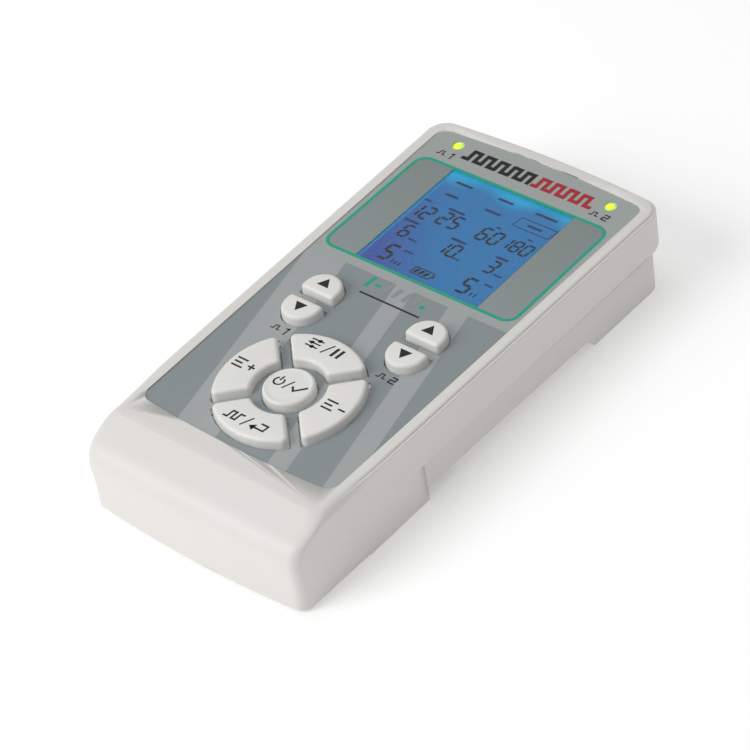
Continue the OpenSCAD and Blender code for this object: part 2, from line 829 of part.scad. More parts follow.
case_screws();
board_screws();
holder_screws();
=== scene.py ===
"""A handheld two-channel muscle stimulator: its finishes, its detailed shells, keys and display."""

import logging
import math
from collections.abc import Callable, Sequence
from dataclasses import dataclass
from enum import Enum

import bmesh
import bpy
from mathutils import Matrix, Vector


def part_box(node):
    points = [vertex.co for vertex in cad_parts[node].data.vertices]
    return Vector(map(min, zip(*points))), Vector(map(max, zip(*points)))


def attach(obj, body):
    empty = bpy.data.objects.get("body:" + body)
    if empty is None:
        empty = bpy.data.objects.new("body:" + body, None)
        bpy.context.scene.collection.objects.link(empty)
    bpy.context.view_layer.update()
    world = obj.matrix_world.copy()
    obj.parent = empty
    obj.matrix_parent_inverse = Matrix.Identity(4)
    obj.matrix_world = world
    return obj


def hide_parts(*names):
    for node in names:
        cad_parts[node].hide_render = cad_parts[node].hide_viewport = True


MM = 0.001
LOG = logging.getLogger("stimulator")
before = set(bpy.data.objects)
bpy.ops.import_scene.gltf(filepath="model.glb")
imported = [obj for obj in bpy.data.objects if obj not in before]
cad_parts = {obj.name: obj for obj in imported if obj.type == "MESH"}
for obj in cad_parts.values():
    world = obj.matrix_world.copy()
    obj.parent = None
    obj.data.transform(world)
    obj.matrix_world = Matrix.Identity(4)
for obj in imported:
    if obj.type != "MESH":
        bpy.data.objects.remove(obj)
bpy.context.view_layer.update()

Point2 = tuple[float, float]
Outline = list[Point2]


# ---- measures shared by several pieces, in millimetres ----


def node_box(name: str) -> tuple[Vector, Vector]:
    """Gives a node's lowest and highest corner in millimetres.

    Args:
        name: The node.

    Returns:
        Both corners.
    """
    low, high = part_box(name)
    return Vector(low) / MM, Vector(high) / MM


class Case:
    """Sizes of the housing that several pieces follow."""

    far = node_box("front_case")[1].y
    near = node_box("front_case")[0].y
    top = node_box("front_case")[1].z
    film = node_box("front_overlay")[1].z
    seam = 11.1
    half = 30.6
    taper = 0.016
    rim = 2.8
    panel = 3.45
    end_radius = 350.0
    crease = -57.6
    slope = 24.0
    lean = 4.0
    nose_radius = 7.5

    @classmethod
    def half_at(cls, y: float) -> float:
        """Half width of the printed film.

        Args:
            y: Place along the case.

        Returns:
            The half width.
        """
        return cls.half + cls.taper * y

    @classmethod
    def drop(cls, x: float) -> float:
        """How far the curve of an end has fallen back.

        Args:
            x: Distance from the middle.

        Returns:
            The fall.
        """
        return cls.end_radius - math.sqrt(cls.end_radius**2 - x**2)


def smooth_step(low: float, high: float, value: float) -> float:
    """Goes smoothly from 0 to 1.

    Args:
        low: Where it is still 0.
        high: Where it has reached 1.
        value: Where it is asked for.

    Returns:
        The share.
    """
    t = min(1.0, max(0.0, (value - low) / (high - low)))
    return t * t * (3 - 2 * t)


def nose_side(steps: int = 14) -> Outline:
    """Side view of the nose from the crease down to the table.

    Args:
        steps: Pieces of the arc between the slope and the front face.

    Returns:
        Points (y, z), from the top.
    """
    slope, lean, radius = math.radians(Case.slope), math.radians(Case.lean), Case.nose_radius
    low, top = (Case.near, 0.8), (Case.crease, Case.top)
    fall = (low[0] - top[0] + math.tan(lean) * (top[1] - low[1])) / (
        -math.cos(slope) + math.tan(lean) * math.sin(slope)
    )
    back = radius * math.tan(math.radians(90 - Case.lean - Case.slope) / 2)
    first = (top[0] - (fall - back) * math.cos(slope), top[1] - (fall - back) * math.sin(slope))
    centre = (first[0] + radius * math.sin(slope), first[1] - radius * math.cos(slope))
    bend = []
    for i in range(steps + 1):
        a = math.radians(90 + Case.slope + (90 - Case.lean - Case.slope) * i / steps)
        bend.append((centre[0] + radius * math.cos(a), centre[1] + radius * math.sin(a)))
    return [top, *bend, low]


# ---- materials ----


def linear(colour: str) -> tuple[float, float, float, float]:
    """Turns an sRGB hex colour into linear values.

    Args:
        colour: Six hex digits.

    Returns:
        Red, green, blue and a full alpha.
    """
    parts = [int(colour[i : i + 2], 16) / 255 for i in (0, 2, 4)]
    r, g, b = (p / 12.92 if p <= 0.04045 else ((p + 0.055) / 1.055) ** 2.4 for p in parts)
    return r, g, b, 1.0


class Graph:
    """The node tree of one material."""

    def __init__(self, name: str) -> None:
        """Starts an empty material.

        Args:
            name: The real material and how its surface was made.
        """
        self.material = bpy.data.materials.new(name)
        self.material.use_nodes = True
        self.tree = self.material.node_tree
        self.tree.nodes.clear()

    def add(self, kind: str, *values: object, sockets: dict | None = None, **settings: object):
        """Adds one node.

        Args:
            kind: The node's type without its ShaderNode prefix.
            values: What its inputs get, in order: a number, a node, an output, or None to skip.
            sockets: Inputs given by name or number instead.
            settings: The node's own settings.

        Returns:
            The node.
        """
        node = self.tree.nodes.new("ShaderNode" + kind)
        for key, value in settings.items():
            setattr(node, key, value)
        for key, value in [*enumerate(values), *(sockets or {}).items()]:
            if value is None:
                continue
            if isinstance(value, bpy.types.Node):
                value = value.outputs[0]
            if isinstance(value, bpy.types.NodeSocket):
                self.tree.links.new(value, node.inputs[key])
            else:
                node.inputs[key].default_value = value
        return node

    def finish(self, surface: object) -> bpy.types.Material:
        """Joins the last shader to the output.

        Args:
            surface: The shader node.

        Returns:
            The material.
        """
        self.add("OutputMaterial", surface)
        return self.material


@dataclass(frozen=True)
class Moulded:
    """A moulded or pressed finish: two close tones, a fine grain and a roughness that wanders."""

    name: str
    colour: str
    tone: str
    roughness: float
    grain_mm: float = 0.35
    grain_depth_mm: float = 0.006
    drift_mm: float = 26.0
    metallic: float = 0.0
    ior: float = 1.5
    coat: float = 0.0
    sheen: float = 0.0

    def make(self) -> bpy.types.Material:
        """Builds the material."""
        g = Graph(self.name)
        place = g.add("TexCoord").outputs["Object"]
        drift = g.add("TexNoise", sockets={"Vector": place, "Scale": 1 / (self.drift_mm * MM), "Detail": 2.0})
        grain = g.add("TexNoise", sockets={"Vector": place, "Scale": 1 / (self.grain_mm * MM), "Detail": 3.0})
        mixed = g.add("Mix", data_type="RGBA",
                      sockets={"Factor": drift, 6: linear(self.colour), 7: linear(self.tone)})
        rough = g.add("MapRange", grain, 0.3, 0.7, self.roughness - 0.05, self.roughness + 0.05)
        bump = g.add("Bump", sockets={"Strength": 0.5, "Distance": self.grain_depth_mm * MM, "Height": grain})
        look = {"Base Color": mixed.outputs[2], "Roughness": rough, "Normal": bump,
                "Metallic": self.metallic, "Sheen Weight": self.sheen,
                "Coat Weight": self.coat, "Coat Roughness": 0.2}
        if not self.metallic:
            look["IOR"] = self.ior
        return g.finish(g.add("BsdfPrincipled", sockets=look))


@dataclass(frozen=True)
class Brushed:
    """A metal drawn or turned along one direction, with fine lines across the light."""

    name: str
    colour: str
    roughness: float
    line_mm: float = 0.12

    def make(self) -> bpy.types.Material:
        """Builds the material."""
        g = Graph(self.name)
        place = g.add("TexCoord").outputs["Object"]
        long = g.add("Mapping", place, sockets={"Scale": (1.0, 0.08, 1.0)})
        lines = g.add("TexNoise", sockets={"Vector": long, "Scale": 1 / (self.line_mm * MM), "Detail": 2.0})
        rough = g.add("MapRange", lines, 0.3, 0.7, self.roughness - 0.06, self.roughness + 0.08)
        bump = g.add("Bump", sockets={"Strength": 0.3, "Distance": 0.004 * MM, "Height": lines})
        return g.finish(g.add("BsdfPrincipled", sockets={
            "Base Color": linear(self.colour), "Metallic": 1.0, "Roughness": rough, "Normal": bump}))


@dataclass(frozen=True)
class FilmPrint:
    """Polyester keypad film, back printed in two greys with slanted bands and a fine matt texture.

    The bands cover the key area, and everything beyond the keys is the lighter grey. Beside the
    display the print fades from light to dark towards the far end.
    """

    name: str
    dark: str = "889193"
    light: str = "a3a8a8"
    upper: str = "a2a8a5"
    fade_near: str = "8c9694"
    fade_far: str = "828c8a"
    slant: float = 0.22
    bands: tuple[tuple[float, float], ...] = ((-17.0, -5.0), (11.0, 16.4), (27.0, 33.0))
    edge_y: float = 12.0
    frame_half: float = 29.7
    frame_y: tuple[float, float] = (15.0, 54.2)
    frame_corner: float = 3.2

    def make(self) -> bpy.types.Material:
        """Builds the material."""
        g = Graph(self.name)
        place = g.add("TexCoord").outputs["Object"]
        at = g.add("VectorMath", place, sockets={1: (1 / MM,) * 3}, operation="MULTIPLY")
        split = g.add("SeparateXYZ", at)
        x, y = split.outputs[0], split.outputs[1]
        lean = g.add("Math", y, 51.6, operation="ADD")
        lean = g.add("Math", lean, self.slant, x, operation="MULTIPLY_ADD")
        light: object = None
        for low, high in self.bands:
            off = g.add("Math", lean, (low + high) / 2, operation="SUBTRACT")
            off = g.add("Math", off, operation="ABSOLUTE")
            band = g.add("MapRange", off, (high - low) / 2 - 0.08, (high - low) / 2 + 0.08, 1.0, 0.0)
            light = band if light is None else g.add("Math", light, band, operation="MAXIMUM")
        keys = g.add("Mix", data_type="RGBA",
                     sockets={"Factor": light, 6: linear(self.dark), 7: linear(self.light)})
        above = g.add("MapRange", y, self.edge_y - 0.08, self.edge_y + 0.08, 0.0, 1.0)
        panel = g.add("Mix", data_type="RGBA",
                      sockets={"Factor": above, 6: keys.outputs[2], 7: linear(self.upper)})
        # The fade beside the display lies inside the coloured frame line only.
        fade = g.add("MapRange", y, *self.frame_y, 0.0, 1.0)
        fades = g.add("Mix", data_type="RGBA",
                      sockets={"Factor": fade, 6: linear(self.fade_near), 7: linear(self.fade_far)})
        middle, reach = sum(self.frame_y) / 2, (self.frame_y[1] - self.frame_y[0]) / 2
        past = []
        for value, centre, half in ((x, 0.0, self.frame_half), (y, middle, reach)):
            off = g.add("Math", g.add("Math", value, centre, operation="SUBTRACT"), operation="ABSOLUTE")
            off = g.add("Math", off, half - self.frame_corner, operation="SUBTRACT")
            past.append(g.add("Math", g.add("Math", off, 0.0, operation="MAXIMUM"), 2.0, operation="POWER"))
        round_off = g.add("Math", *past, operation="ADD")
        inside = g.add("Math", round_off, self.frame_corner**2, operation="LESS_THAN")
        colour = g.add("Mix", data_type="RGBA",
                       sockets={"Factor": inside, 6: panel.outputs[2], 7: fades.outputs[2]})
        grain = g.add("TexNoise", sockets={"Vector": place, "Scale": 1 / (0.18 * MM), "Detail": 2.0})
        rough = g.add("MapRange", grain, 0.3, 0.7, 0.34, 0.44)
        bump = g.add("Bump", sockets={"Strength": 0.35, "Distance": 0.003 * MM, "Height": grain})
        return g.finish(g.add("BsdfPrincipled", sockets={
            "Base Color": colour.outputs[2], "Roughness": rough, "Normal": bump, "IOR": 1.57}))


@dataclass(frozen=True)
class BacklitGlass:
    """Display glass lit from the far edge: blue, violet towards the near left, cyan by the lamps."""

    name: str
    blue: str = "1c74b0"
    violet: str = "374a9c"
    cyan: str = "08a8d8"
    power: float = 0.9

    def make(self) -> bpy.types.Material:
        """Builds the material."""
        g = Graph(self.name)
        place = g.add("TexCoord").outputs["Object"]
        at = g.add("VectorMath", place, sockets={1: (1 / MM,) * 3}, operation="MULTIPLY")
        split = g.add("SeparateXYZ", at)
        x, y = split.outputs[0], split.outputs[1]
        # Distance from the near left corner decides how violet the light is.
        across = g.add("Math", x, 19.0, operation="ADD")
        along = g.add("Math", y, 15.6, operation="SUBTRACT")
        corner = g.add("Math", along, 0.55, across, operation="MULTIPLY_ADD")
        tint = g.add("MapRange", corner, 0.0, 26.0, 1.0, 0.0, interpolation_type="SMOOTHSTEP")
        base = g.add("Mix", data_type="RGBA",
                     sockets={"Factor": tint, 6: linear(self.blue), 7: linear(self.violet)})
        # The lamps at the far edge throw overlapping pools of light with a wavy border.
        wave = g.add("Math", x, 0.33, 0.9, operation="MULTIPLY_ADD")
        wave = g.add("Math", g.add("Math", wave, operation="SINE"), 1.3, y, operation="MULTIPLY_ADD")
        glow = g.add("MapRange", wave, 48.5, 54.5, 0.0, 1.0, interpolation_type="SMOOTHSTEP")
        left = g.add("MapRange", x, -18.9, -17.9, 0.8, 0.0)
        glow = g.add("Math", glow, left, operation="MAXIMUM")
        lit = g.add("Mix", data_type="RGBA",
                    sockets={"Factor": glow, 6: base.outputs[2], 7: linear(self.cyan)})
        return g.finish(g.add("BsdfPrincipled", sockets={
            "Base Color": linear("10203a"), "Roughness": 0.3, "Emission Color": lit.outputs[2],
            "Emission Strength": self.power, "IOR": 1.5}))


@dataclass(frozen=True)
class LampLens:
    """Tinted lens over a lit chip: bright yellow in the middle, green towards its edge."""

    name: str
    centre: Point2
    bright: str = "e4ec20"
    edge: str = "96d84c"

    def make(self) -> bpy.types.Material:
        """Builds the material."""
        g = Graph(self.name)
        place = g.add("TexCoord").outputs["Object"]
        middle = g.add("CombineXYZ", self.centre[0] * MM, self.centre[1] * MM, 0.0)
        flat = g.add("VectorMath", place, sockets={1: (1.0, 1.0, 0.0)}, operation="MULTIPLY")
        away = g.add("VectorMath", flat, middle, operation="DISTANCE")
        ring = g.add("MapRange", away.outputs["Value"], 0.5 * MM, 1.45 * MM, 0.0, 1.0)
        colour = g.add("Mix", data_type="RGBA",
                       sockets={"Factor": ring, 6: linear(self.bright), 7: linear(self.edge)})
        return g.finish(g.add("BsdfPrincipled", sockets={
            "Base Color": colour.outputs[2], "Roughness": 0.25, "Emission Color": colour.outputs[2],
            "Emission Strength": 0.75, "IOR": 1.5}))


@dataclass(frozen=True)
class Clear:
    """Clear cast plastic that shows what lies under it."""

    name: str
    roughness: float = 0.03

    def make(self) -> bpy.types.Material:
        """Builds the material."""
        g = Graph(self.name)
        place = g.add("TexCoord").outputs["Object"]
        wipe = g.add("TexNoise", sockets={"Vector": place, "Scale": 1 / (9 * MM), "Detail": 2.0})
        rough = g.add("MapRange", wipe, 0.3, 0.7, self.roughness, self.roughness + 0.03)
        return g.finish(g.add("BsdfPrincipled", sockets={
            "Base Color": linear("f4f8fa"), "Roughness": rough, "Transmission Weight": 1.0, "IOR": 1.49}))


class Finish(Enum):
    """Every finish of the object, named for its real material and process."""

    # Injection moulded ABS with a fine spark-eroded grain: soft, even, slightly warm white.
    CASE = Moulded("abs_moulded_fine_grain_white", "dedbd6", "e3e1dd", 0.47, 0.3, 0.004)
    # The rear shell and the battery cover are the same ABS with a slightly duller face.
    REAR = Moulded("abs_moulded_fine_grain_rear", "dcdad5", "e1dfdb", 0.5, 0.3, 0.004)
    # Key caps come from a smoother tool: brighter and a little glossier.
    KEY = Moulded("abs_key_cap_satin_white", "e6e5e1", "eae9e6", 0.4, 0.25, 0.002)
    # Screen printed inks: dense, matt, with the faint tooth of the mesh.
    INK = Moulded("screen_ink_black", "0c0c0e", "141416", 0.45, 0.12, 0.001)
    TEAL = Moulded("screen_ink_teal", "12a184", "15a588", 0.45, 0.12, 0.001)
    RED = Moulded("screen_ink_red", "a81c2c", "ae2030", 0.45, 0.12, 0.001)
    GREY_INK = Moulded("screen_ink_grey", "8c9290", "909694", 0.45, 0.12, 0.001)
    SEGMENT = Moulded("liquid_crystal_segment_dark", "0a1428", "0c182c", 0.4, 0.12, 0.001)
    FAINT = Moulded("liquid_crystal_segment_faint", "1c3f86", "1e4289", 0.4, 0.12, 0.001)
    FILM = FilmPrint("polyester_film_back_printed")
    DISPLAY = BacklitGlass("liquid_crystal_glass_backlit_blue")
    WINDOW = Clear("acrylic_window_clear")
    LAMP_1 = LampLens("lamp_lens_tinted_yellow_green_1", (-23.8, 61.9))
    LAMP_2 = LampLens("lamp_lens_tinted_yellow_green_2", (23.8, 61.9))
    WHITE_FRAME = Moulded("abs_moulded_display_frame_white", "e8eaea", "eef0f0", 0.45)
    GUIDE = Moulded("acrylic_light_guide_frosted", "dcecf4", "e4f2f8", 0.3)
    RUBBER = Moulded("conductive_rubber_strip_grey", "3c3c40", "46464a", 0.7)
    SILICONE = Moulded("silicone_rubber_mat_grey", "9a9c9e", "a2a4a6", 0.62, 0.5, 0.006, sheen=0.2)
    CARBON = Moulded("carbon_pill_printed_black", "0a0a0a", "121212", 0.75)
    BOARD = Moulded("glass_epoxy_board_green_mask", "0f5a30", "146638", 0.35, 0.6, 0.01, 6.0, coat=0.3)
    BLACK = Moulded("nylon_moulded_black", "101012", "18181a", 0.45)
    FERRITE = Moulded("ferrite_core_sintered_grey", "34353a", "3e3f44", 0.7, 0.25, 0.01)
    SLEEVE = Moulded("capacitor_sleeve_shrunk_navy", "141c40", "1a2450", 0.3)
    JACKET = Moulded("cell_jacket_printed_blue", "1c4a86", "24569a", 0.3, 1.0, 0.004, coat=0.4)
    PLATED = Brushed("nickel_plated_spring_steel", "b8b8b4", 0.3)
    CRYSTAL = Brushed("crystal_can_drawn_steel", "c4c4c2", 0.25)
    SCREW = Moulded("steel_screw_blackened", "28282a", "303032", 0.4, 0.2, 0.004, metallic=1.0)

    @property
    def material(self) -> bpy.types.Material:
        """The finish's material, made the first time it is asked for."""
        return bpy.data.materials.get(self.value.name) or self.value.make()


# ---- building meshes ----


class Piece:
    """One mesh under construction, in millimetres, until it is placed."""

    def __init__(self, name: str) -> None:
        """Starts an empty mesh.

        Args:
            name: What the piece is called.
        """
        self.name = name
        self.bm = bmesh.new()

    def face(self, outline: Sequence[Point2], z: float) -> bmesh.types.BMFace:
        """Adds a flat face.

        Args:
            outline: Its corners (x, y), anticlockwise from above.
            z: Its height.

        Returns:
            The face.
        """
        return self.bm.faces.new([self.bm.verts.new((x, y, z)) for x, y in outline])

    def loft(self, rings: Sequence[tuple[Outline, float]]) -> "Piece":
        """Raises a closed body through a row of outlines with as many corners each.

        Args:
            rings: Outlines with their heights, from the bottom.

        Returns:
            The piece.
        """
        outline, z = rings[0]
        cap = self.face(outline, z)
        for outline, z in rings[1:]:
            # A copied cap keeps the order of its corners, so each goes straight to its new place.
            below = list(cap.verts)
            cap = bmesh.ops.duplicate(self.bm, geom=[*cap.verts, *cap.edges, cap])
            cap = next(f for f in cap["geom"] if isinstance(f, bmesh.types.BMFace))
            for vert, (x, y) in zip(cap.verts, outline, strict=True):
                vert.co = (x, y, z)
            above = list(cap.verts)
            for i, vert in enumerate(below):
                j = (i + 1) % len(below)
                self.bm.faces.new((vert, below[j], above[j], above[i]))
        return self.closed(rings)

    def closed(self, rings: Sequence[tuple[Outline, float]]) -> "Piece":
        """Takes out the caps inside a loft and turns its faces outwards.

        Args:
            rings: The loft's outlines with their heights.

        Returns:
            The piece.
        """
        corners = len(rings[0][0])
        caps = [f for f in self.bm.faces if len(f.verts) == corners and corners > 4]
        caps.sort(key=lambda f: f.calc_center_median().z)
        bmesh.ops.delete(self.bm, geom=caps[1:-1], context="FACES_ONLY")
        bmesh.ops.remove_doubles(self.bm, verts=self.bm.verts, dist=1e-5)
        bmesh.ops.recalc_face_normals(self.bm, faces=self.bm.faces)
        return self

    def slab(self, outline: Sequence[Point2], z0: float, z1: float) -> list[bmesh.types.BMFace]:
        """Adds a flat closed slab.

        Args:
            outline: Its corners (x, y).
            z0: Underside.
            z1: Top.

        Returns:
            Its faces.
        """
        base = self.face(outline, z0)
        made = bmesh.ops.extrude_face_region(self.bm, geom=[base])["geom"]
        top = [v for v in made if isinstance(v, bmesh.types.BMVert)]
        bmesh.ops.translate(self.bm, verts=top, vec=(0, 0, z1 - z0))
        around = {f for v in top for f in v.link_faces}
        faces = [*around, base]
        bmesh.ops.recalc_face_normals(self.bm, faces=faces)
        return faces

    def turn(self, angle: float, about: Point2) -> None:
        """Turns everything about an upright axis.

        Args:
            angle: How far, in degrees.
            about: Where the axis stands.
        """
        bmesh.ops.rotate(self.bm, verts=self.bm.verts, cent=(*about, 0),
                         matrix=Matrix.Rotation(math.radians(angle), 3, "Z"))

    def place(self, smooth: float = 35.0) -> bpy.types.Object:
        """Turns the mesh into an object in metres.

        Args:
            smooth: Edges under this angle, in degrees, shade smoothly.

        Returns:
            The object, at the origin.
        """
        bmesh.ops.scale(self.bm, vec=(MM, MM, MM), verts=self.bm.verts)
        mesh = bpy.data.meshes.new(self.name)
        self.bm.to_mesh(mesh)
        self.bm.free()
        obj = bpy.data.objects.new(self.name, mesh)
        bpy.context.scene.collection.objects.link(obj)
        shade(obj, smooth)
        return obj


def shade(obj: bpy.types.Object, smooth: float) -> None:
    """Shades edges under an angle smoothly.

    Args:
        obj: The object.
        smooth: The angle in degrees.
    """
    for polygon in obj.data.polygons:
        polygon.use_smooth = True
    obj.data.set_sharp_from_angle(angle=math.radians(smooth))


def settle(obj: bpy.types.Object, body: str, finish: Finish, replaces: Sequence[str] = ()) -> None:
    """Dresses a piece and ties it to its body.

    Args:
        obj: The piece.
        body: The body it rides on.
        finish: Its finish.
        replaces: Nodes that it stands for.
    """
    obj.data.materials.clear()
    obj.data.materials.append(finish.material)
    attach(obj, body)
    if replaces:
        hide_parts(*replaces)
    LOG.info("piece %s on %s, %d faces", obj.name, body, len(obj.data.polygons))


def cad_copy(node: str) -> bmesh.types.BMesh:
    """Copies a node's mesh with its loose triangles merged.

    Args:
        node: The node.

    Returns:
        The copy in metres.
    """
    bm = bmesh.new()
    bm.from_mesh(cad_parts[node].data)
    bmesh.ops.remove_doubles(bm, verts=bm.verts, dist=2e-6)
    bmesh.ops.dissolve_degenerate(bm, edges=bm.edges, dist=1e-6)
    return bm


def as_object(bm: bmesh.types.BMesh, name: str) -> bpy.types.Object:
    """Puts a finished mesh in metres into an object.

    Args:
        bm: The mesh, which is freed.
        name: The object's name.

    Returns:
        The object.
    """
    mesh = bpy.data.meshes.new(name)
    bm.to_mesh(mesh)
    bm.free()
    obj = bpy.data.objects.new(name, mesh)
    bpy.context.scene.collection.objects.link(obj)
    return obj


def bake_modifiers(obj: bpy.types.Object, *helpers: bpy.types.Object) -> None:
    """Applies an object's modifiers and removes the objects that they used.

    Args:
        obj: The object.
        helpers: What is removed.
    """
    graph = bpy.context.evaluated_depsgraph_get()
    mesh = bpy.data.meshes.new_from_object(obj.evaluated_get(graph))
    obj.modifiers.clear()
    obj.data = mesh
    for helper in helpers:
        bpy.data.objects.remove(helper)


def combine(obj: bpy.types.Object, other: bpy.types.Object, operation: str) -> None:
    """Joins, cuts or intersects a solid with another, which is used up.

    Args:
        obj: The solid that changes.
        other: The other solid.
        operation: UNION, DIFFERENCE or INTERSECT.
    """
    cut = obj.modifiers.new("cut", "BOOLEAN")
    cut.object, cut.operation, cut.solver = other, operation, "EXACT"
    bake_modifiers(obj, other)


# ---- the housing ----


@dataclass
class PlanRing:
    """Outline of the housing at one height, with rounded corners and shallow curved ends."""

    offset: Callable[[float], float]
    near: float
    far: float
    near_radius: float = 5.0
    far_radius: float = 5.0
    near_curve: float = 1.0
    side_points: int = 30
    corner_points: int = 8
    end_points: int = 8

    def right(self) -> Outline:
        """Gives the right-hand half, from the middle of the near end to the middle of the far end."""
        points: Outline = []
        ends = ((self.near, self.near_radius, -1, self.near_curve), (self.far, self.far_radius, 1, 1.0))
        for end, radius, sign, curve in ends:
            side_y = end - sign * radius
            cx = Case.half_at(side_y) + self.offset(side_y) - radius
            cy = end - sign * (Case.drop(cx) * curve + radius)
            arc = [(cx + radius * math.sin(t), cy + sign * radius * math.cos(t))
                   for t in (math.pi / 2 * i / self.corner_points for i in range(self.corner_points + 1))]
            flat = [(cx * i / self.end_points, end - sign * curve * Case.drop(cx * i / self.end_points))
                    for i in range(self.end_points)]
            half = flat + arc
            if sign > 0:
                y0, y1 = points[-1][1], half[-1][1]
                for i in range(1, self.side_points):
                    y = y0 + (y1 - y0) * i / self.side_points
                    points.append((Case.half_at(y) + self.offset(y), y))
                half = half[::-1]
            points += half
        return points

    def outline(self) -> Outline:
        """Gives the whole outline, anticlockwise from above."""
        right = self.right()
        return right + [(-x, y) for x, y in right[-2:0:-1]]


@dataclass
class FrontShell:
    """The front shell: a flat rim, a fine ledge that fades into the rounded nose, and a hairline groove."""

    groove_width: float = 0.28
    groove_depth: float = 0.4
    groove_top: float = 20.5
    groove_y: float = -65.0
    ledge: float = 21.74
    rim_round: float = 0.56
    nose_round: float = 2.6
    corner: float = 3.0
    lip_round: float = 1.2
    far_round: float = 1.0
    ledge_round: float = 0.3
    blend_start: float = -37.0
    blend_length: float = 17.0
    edge_round: float = 0.14

    def side_at(self, y: float, z: float) -> float:
        """How far the side stands from the film's edge.

        Args:
            y: Place along the case.
            z: Height.

        Returns:
            The distance.
        """
        over = max(0.0, z - (Case.top - self.nose_round))
        nose = Case.panel - self.nose_round + math.sqrt(max(0.0, self.nose_round**2 - over**2))
        if z > self.ledge - 0.001:
            over = z - (Case.top - self.rim_round)
            rim = Case.rim - self.rim_round + math.sqrt(max(0.0, self.rim_round**2 - max(0.0, over) ** 2))
        else:
            over = max(0.0, z - (self.ledge - self.ledge_round))
            rim = Case.panel - self.ledge_round + math.sqrt(max(0.0, self.ledge_round**2 - over**2))
        share = smooth_step(0, self.blend_length, self.blend_start - y)
        return rim + (nose - rim) * share

    def near_at(self, z: float) -> float:
        """Where the nose surface lies.

        Args:
            z: Height.

        Returns:
            Its place along the case.
        """
        side = nose_side()
        for (y0, z0), (y1, z1) in zip(side, side[1:]):
            if z1 <= z <= z0:
                return y0 + (y1 - y0) * (z0 - z) / (z0 - z1)
        return side[0][0] if z > side[0][1] else side[-1][0]

    def far_at(self, z: float) -> float:
        """Where the far end lies, with its rounded top edge and lip.

        Args:
            z: Height.

        Returns:
            Its place along the case.
        """
        top = max(0.0, z - (Case.top - self.far_round))
        under = min(self.lip_round, max(0.0, Case.seam + self.lip_round - z))
        return (Case.far - self.far_round + math.sqrt(max(0.0, self.far_round**2 - top**2))
                - self.lip_round + math.sqrt(max(0.0, self.lip_round**2 - under**2)))

    def levels(self) -> list[float]:
        """Lists the heights of the loft, close together where the surface turns."""
        turns = [math.pi / 2 * i / 5 for i in range(6)]
        low = [-1.0, 2.0, 5.0, 8.0, 10.0]
        low += [Case.seam + self.lip_round * (1 - math.cos(t)) for t in turns]
        nose = [13.2, 14.0, 14.8, 15.6, 16.3, 17.0, 17.6, 18.2, 18.7, 19.1]
        edge, fine = self.nose_round, self.ledge_round
        nose += [Case.top - edge + edge * math.sin(math.pi / 2 * i / 12) for i in range(8)]
        ledge = [self.ledge - fine + fine * math.sin(t) for t in turns[1:-1]]
        ledge += [self.ledge - 0.002, self.ledge]
        rim = [Case.top - self.rim_round + self.rim_round * math.sin(t) for t in turns]
        return sorted({round(z, 4) for z in low + nose + ledge + rim})

    def body(self) -> bpy.types.Object:
        """Builds the smooth outside."""
        rings = []
        for z in self.levels():
            curve = 1 - smooth_step(4.0, 19.6, z)
            ring = PlanRing(lambda y, z=z: self.side_at(y, z), self.near_at(z), self.far_at(z), self.corner,
                            near_curve=curve)
            rings.append((ring.outline(), z))
        return Piece("front_shell").loft(rings).place()

    def groove_line(self) -> Outline:
        """Gives the groove's path (y, z): level along the side, then round and down behind the nose."""
        start, turn, low, power = -36.0, -50.0, 1.0, 2 / 3.4
        line = [(start + (turn - start) * i / 8, self.groove_top + 0.25 * (1 - i / 8)) for i in range(8)]
        for i in range(25):
            a = math.pi / 2 * i / 24
            line.append((turn + (self.groove_y - turn) * math.sin(a) ** power,
                         low + (self.groove_top - low) * max(0.0, math.cos(a)) ** power))
        return line + [(self.groove_y - 0.1, -2.0)]

    def groove(self) -> bpy.types.Object:
        """Builds the strips that cut the groove on both sides, from nothing to their full depth."""
        line = self.groove_line()
        outer, inner = [], []
        for i, (y, z) in enumerate(line):
            (y0, z0), (y1, z1) = line[max(i - 1, 0)], line[min(i + 1, len(line) - 1)]
            length = math.hypot(y1 - y0, z1 - z0) / (self.groove_width / 2)
            outer.append((y + (z1 - z0) / length, z - (y1 - y0) / length))
            inner.append((y - (z1 - z0) / length, z + (y1 - y0) / length))
        piece = Piece("groove")
        for side in (-1, 1):
            start = len(piece.bm.verts)
            piece.slab(outer + inner[::-1], 0, 1)
            piece.bm.verts.ensure_lookup_table()
            for vert in piece.bm.verts[start:]:
                y, z, far = vert.co
                depth = self.groove_depth * smooth_step(0, 8, -36.5 - y) - 0.02
                vert.co = (side * (Case.half_at(y) + Case.panel + (1 if far > 0.5 else -depth)), y, z)
        bmesh.ops.recalc_face_normals(piece.bm, faces=piece.bm.faces)
        return piece.place()

    def room(self) -> bpy.types.Object:
        """Copies the node and moves its outside clear of the smooth one, so only the inside is kept."""
        bm = cad_copy("front_case")
        grow = 1.5
        for vert in bm.verts:
            x, y, z = vert.co / MM
            side = abs(x) - Case.half_at(y)
            nose = max(self.near_at(min(max(z, 0.8), Case.top - 0.01)), Case.near + Case.drop(x))
            corner = side > 0.95 and (y < nose + 5.5 or y > Case.far - 5.2)
            if side > 2.2 or corner:
                x += math.copysign(grow, x)
            if y > Case.far - 1.3 - Case.drop(x) or (corner and y > 0):
                y += grow
            if y < nose + 1.0 or (corner and y < 0):
                y -= grow
            if z > self.ledge:
                z += grow
            vert.co = Vector((x, y, z)) * MM
        return as_object(bm, "room")

    def build(self) -> None:
        """Builds the shell and puts it in place of the node."""
        shell = self.body()
        combine(shell, self.groove(), "DIFFERENCE")
        combine(shell, self.room(), "INTERSECT")
        soften(shell, self.edge_round)
        settle(shell, "case", Finish.CASE, ["front_case"])


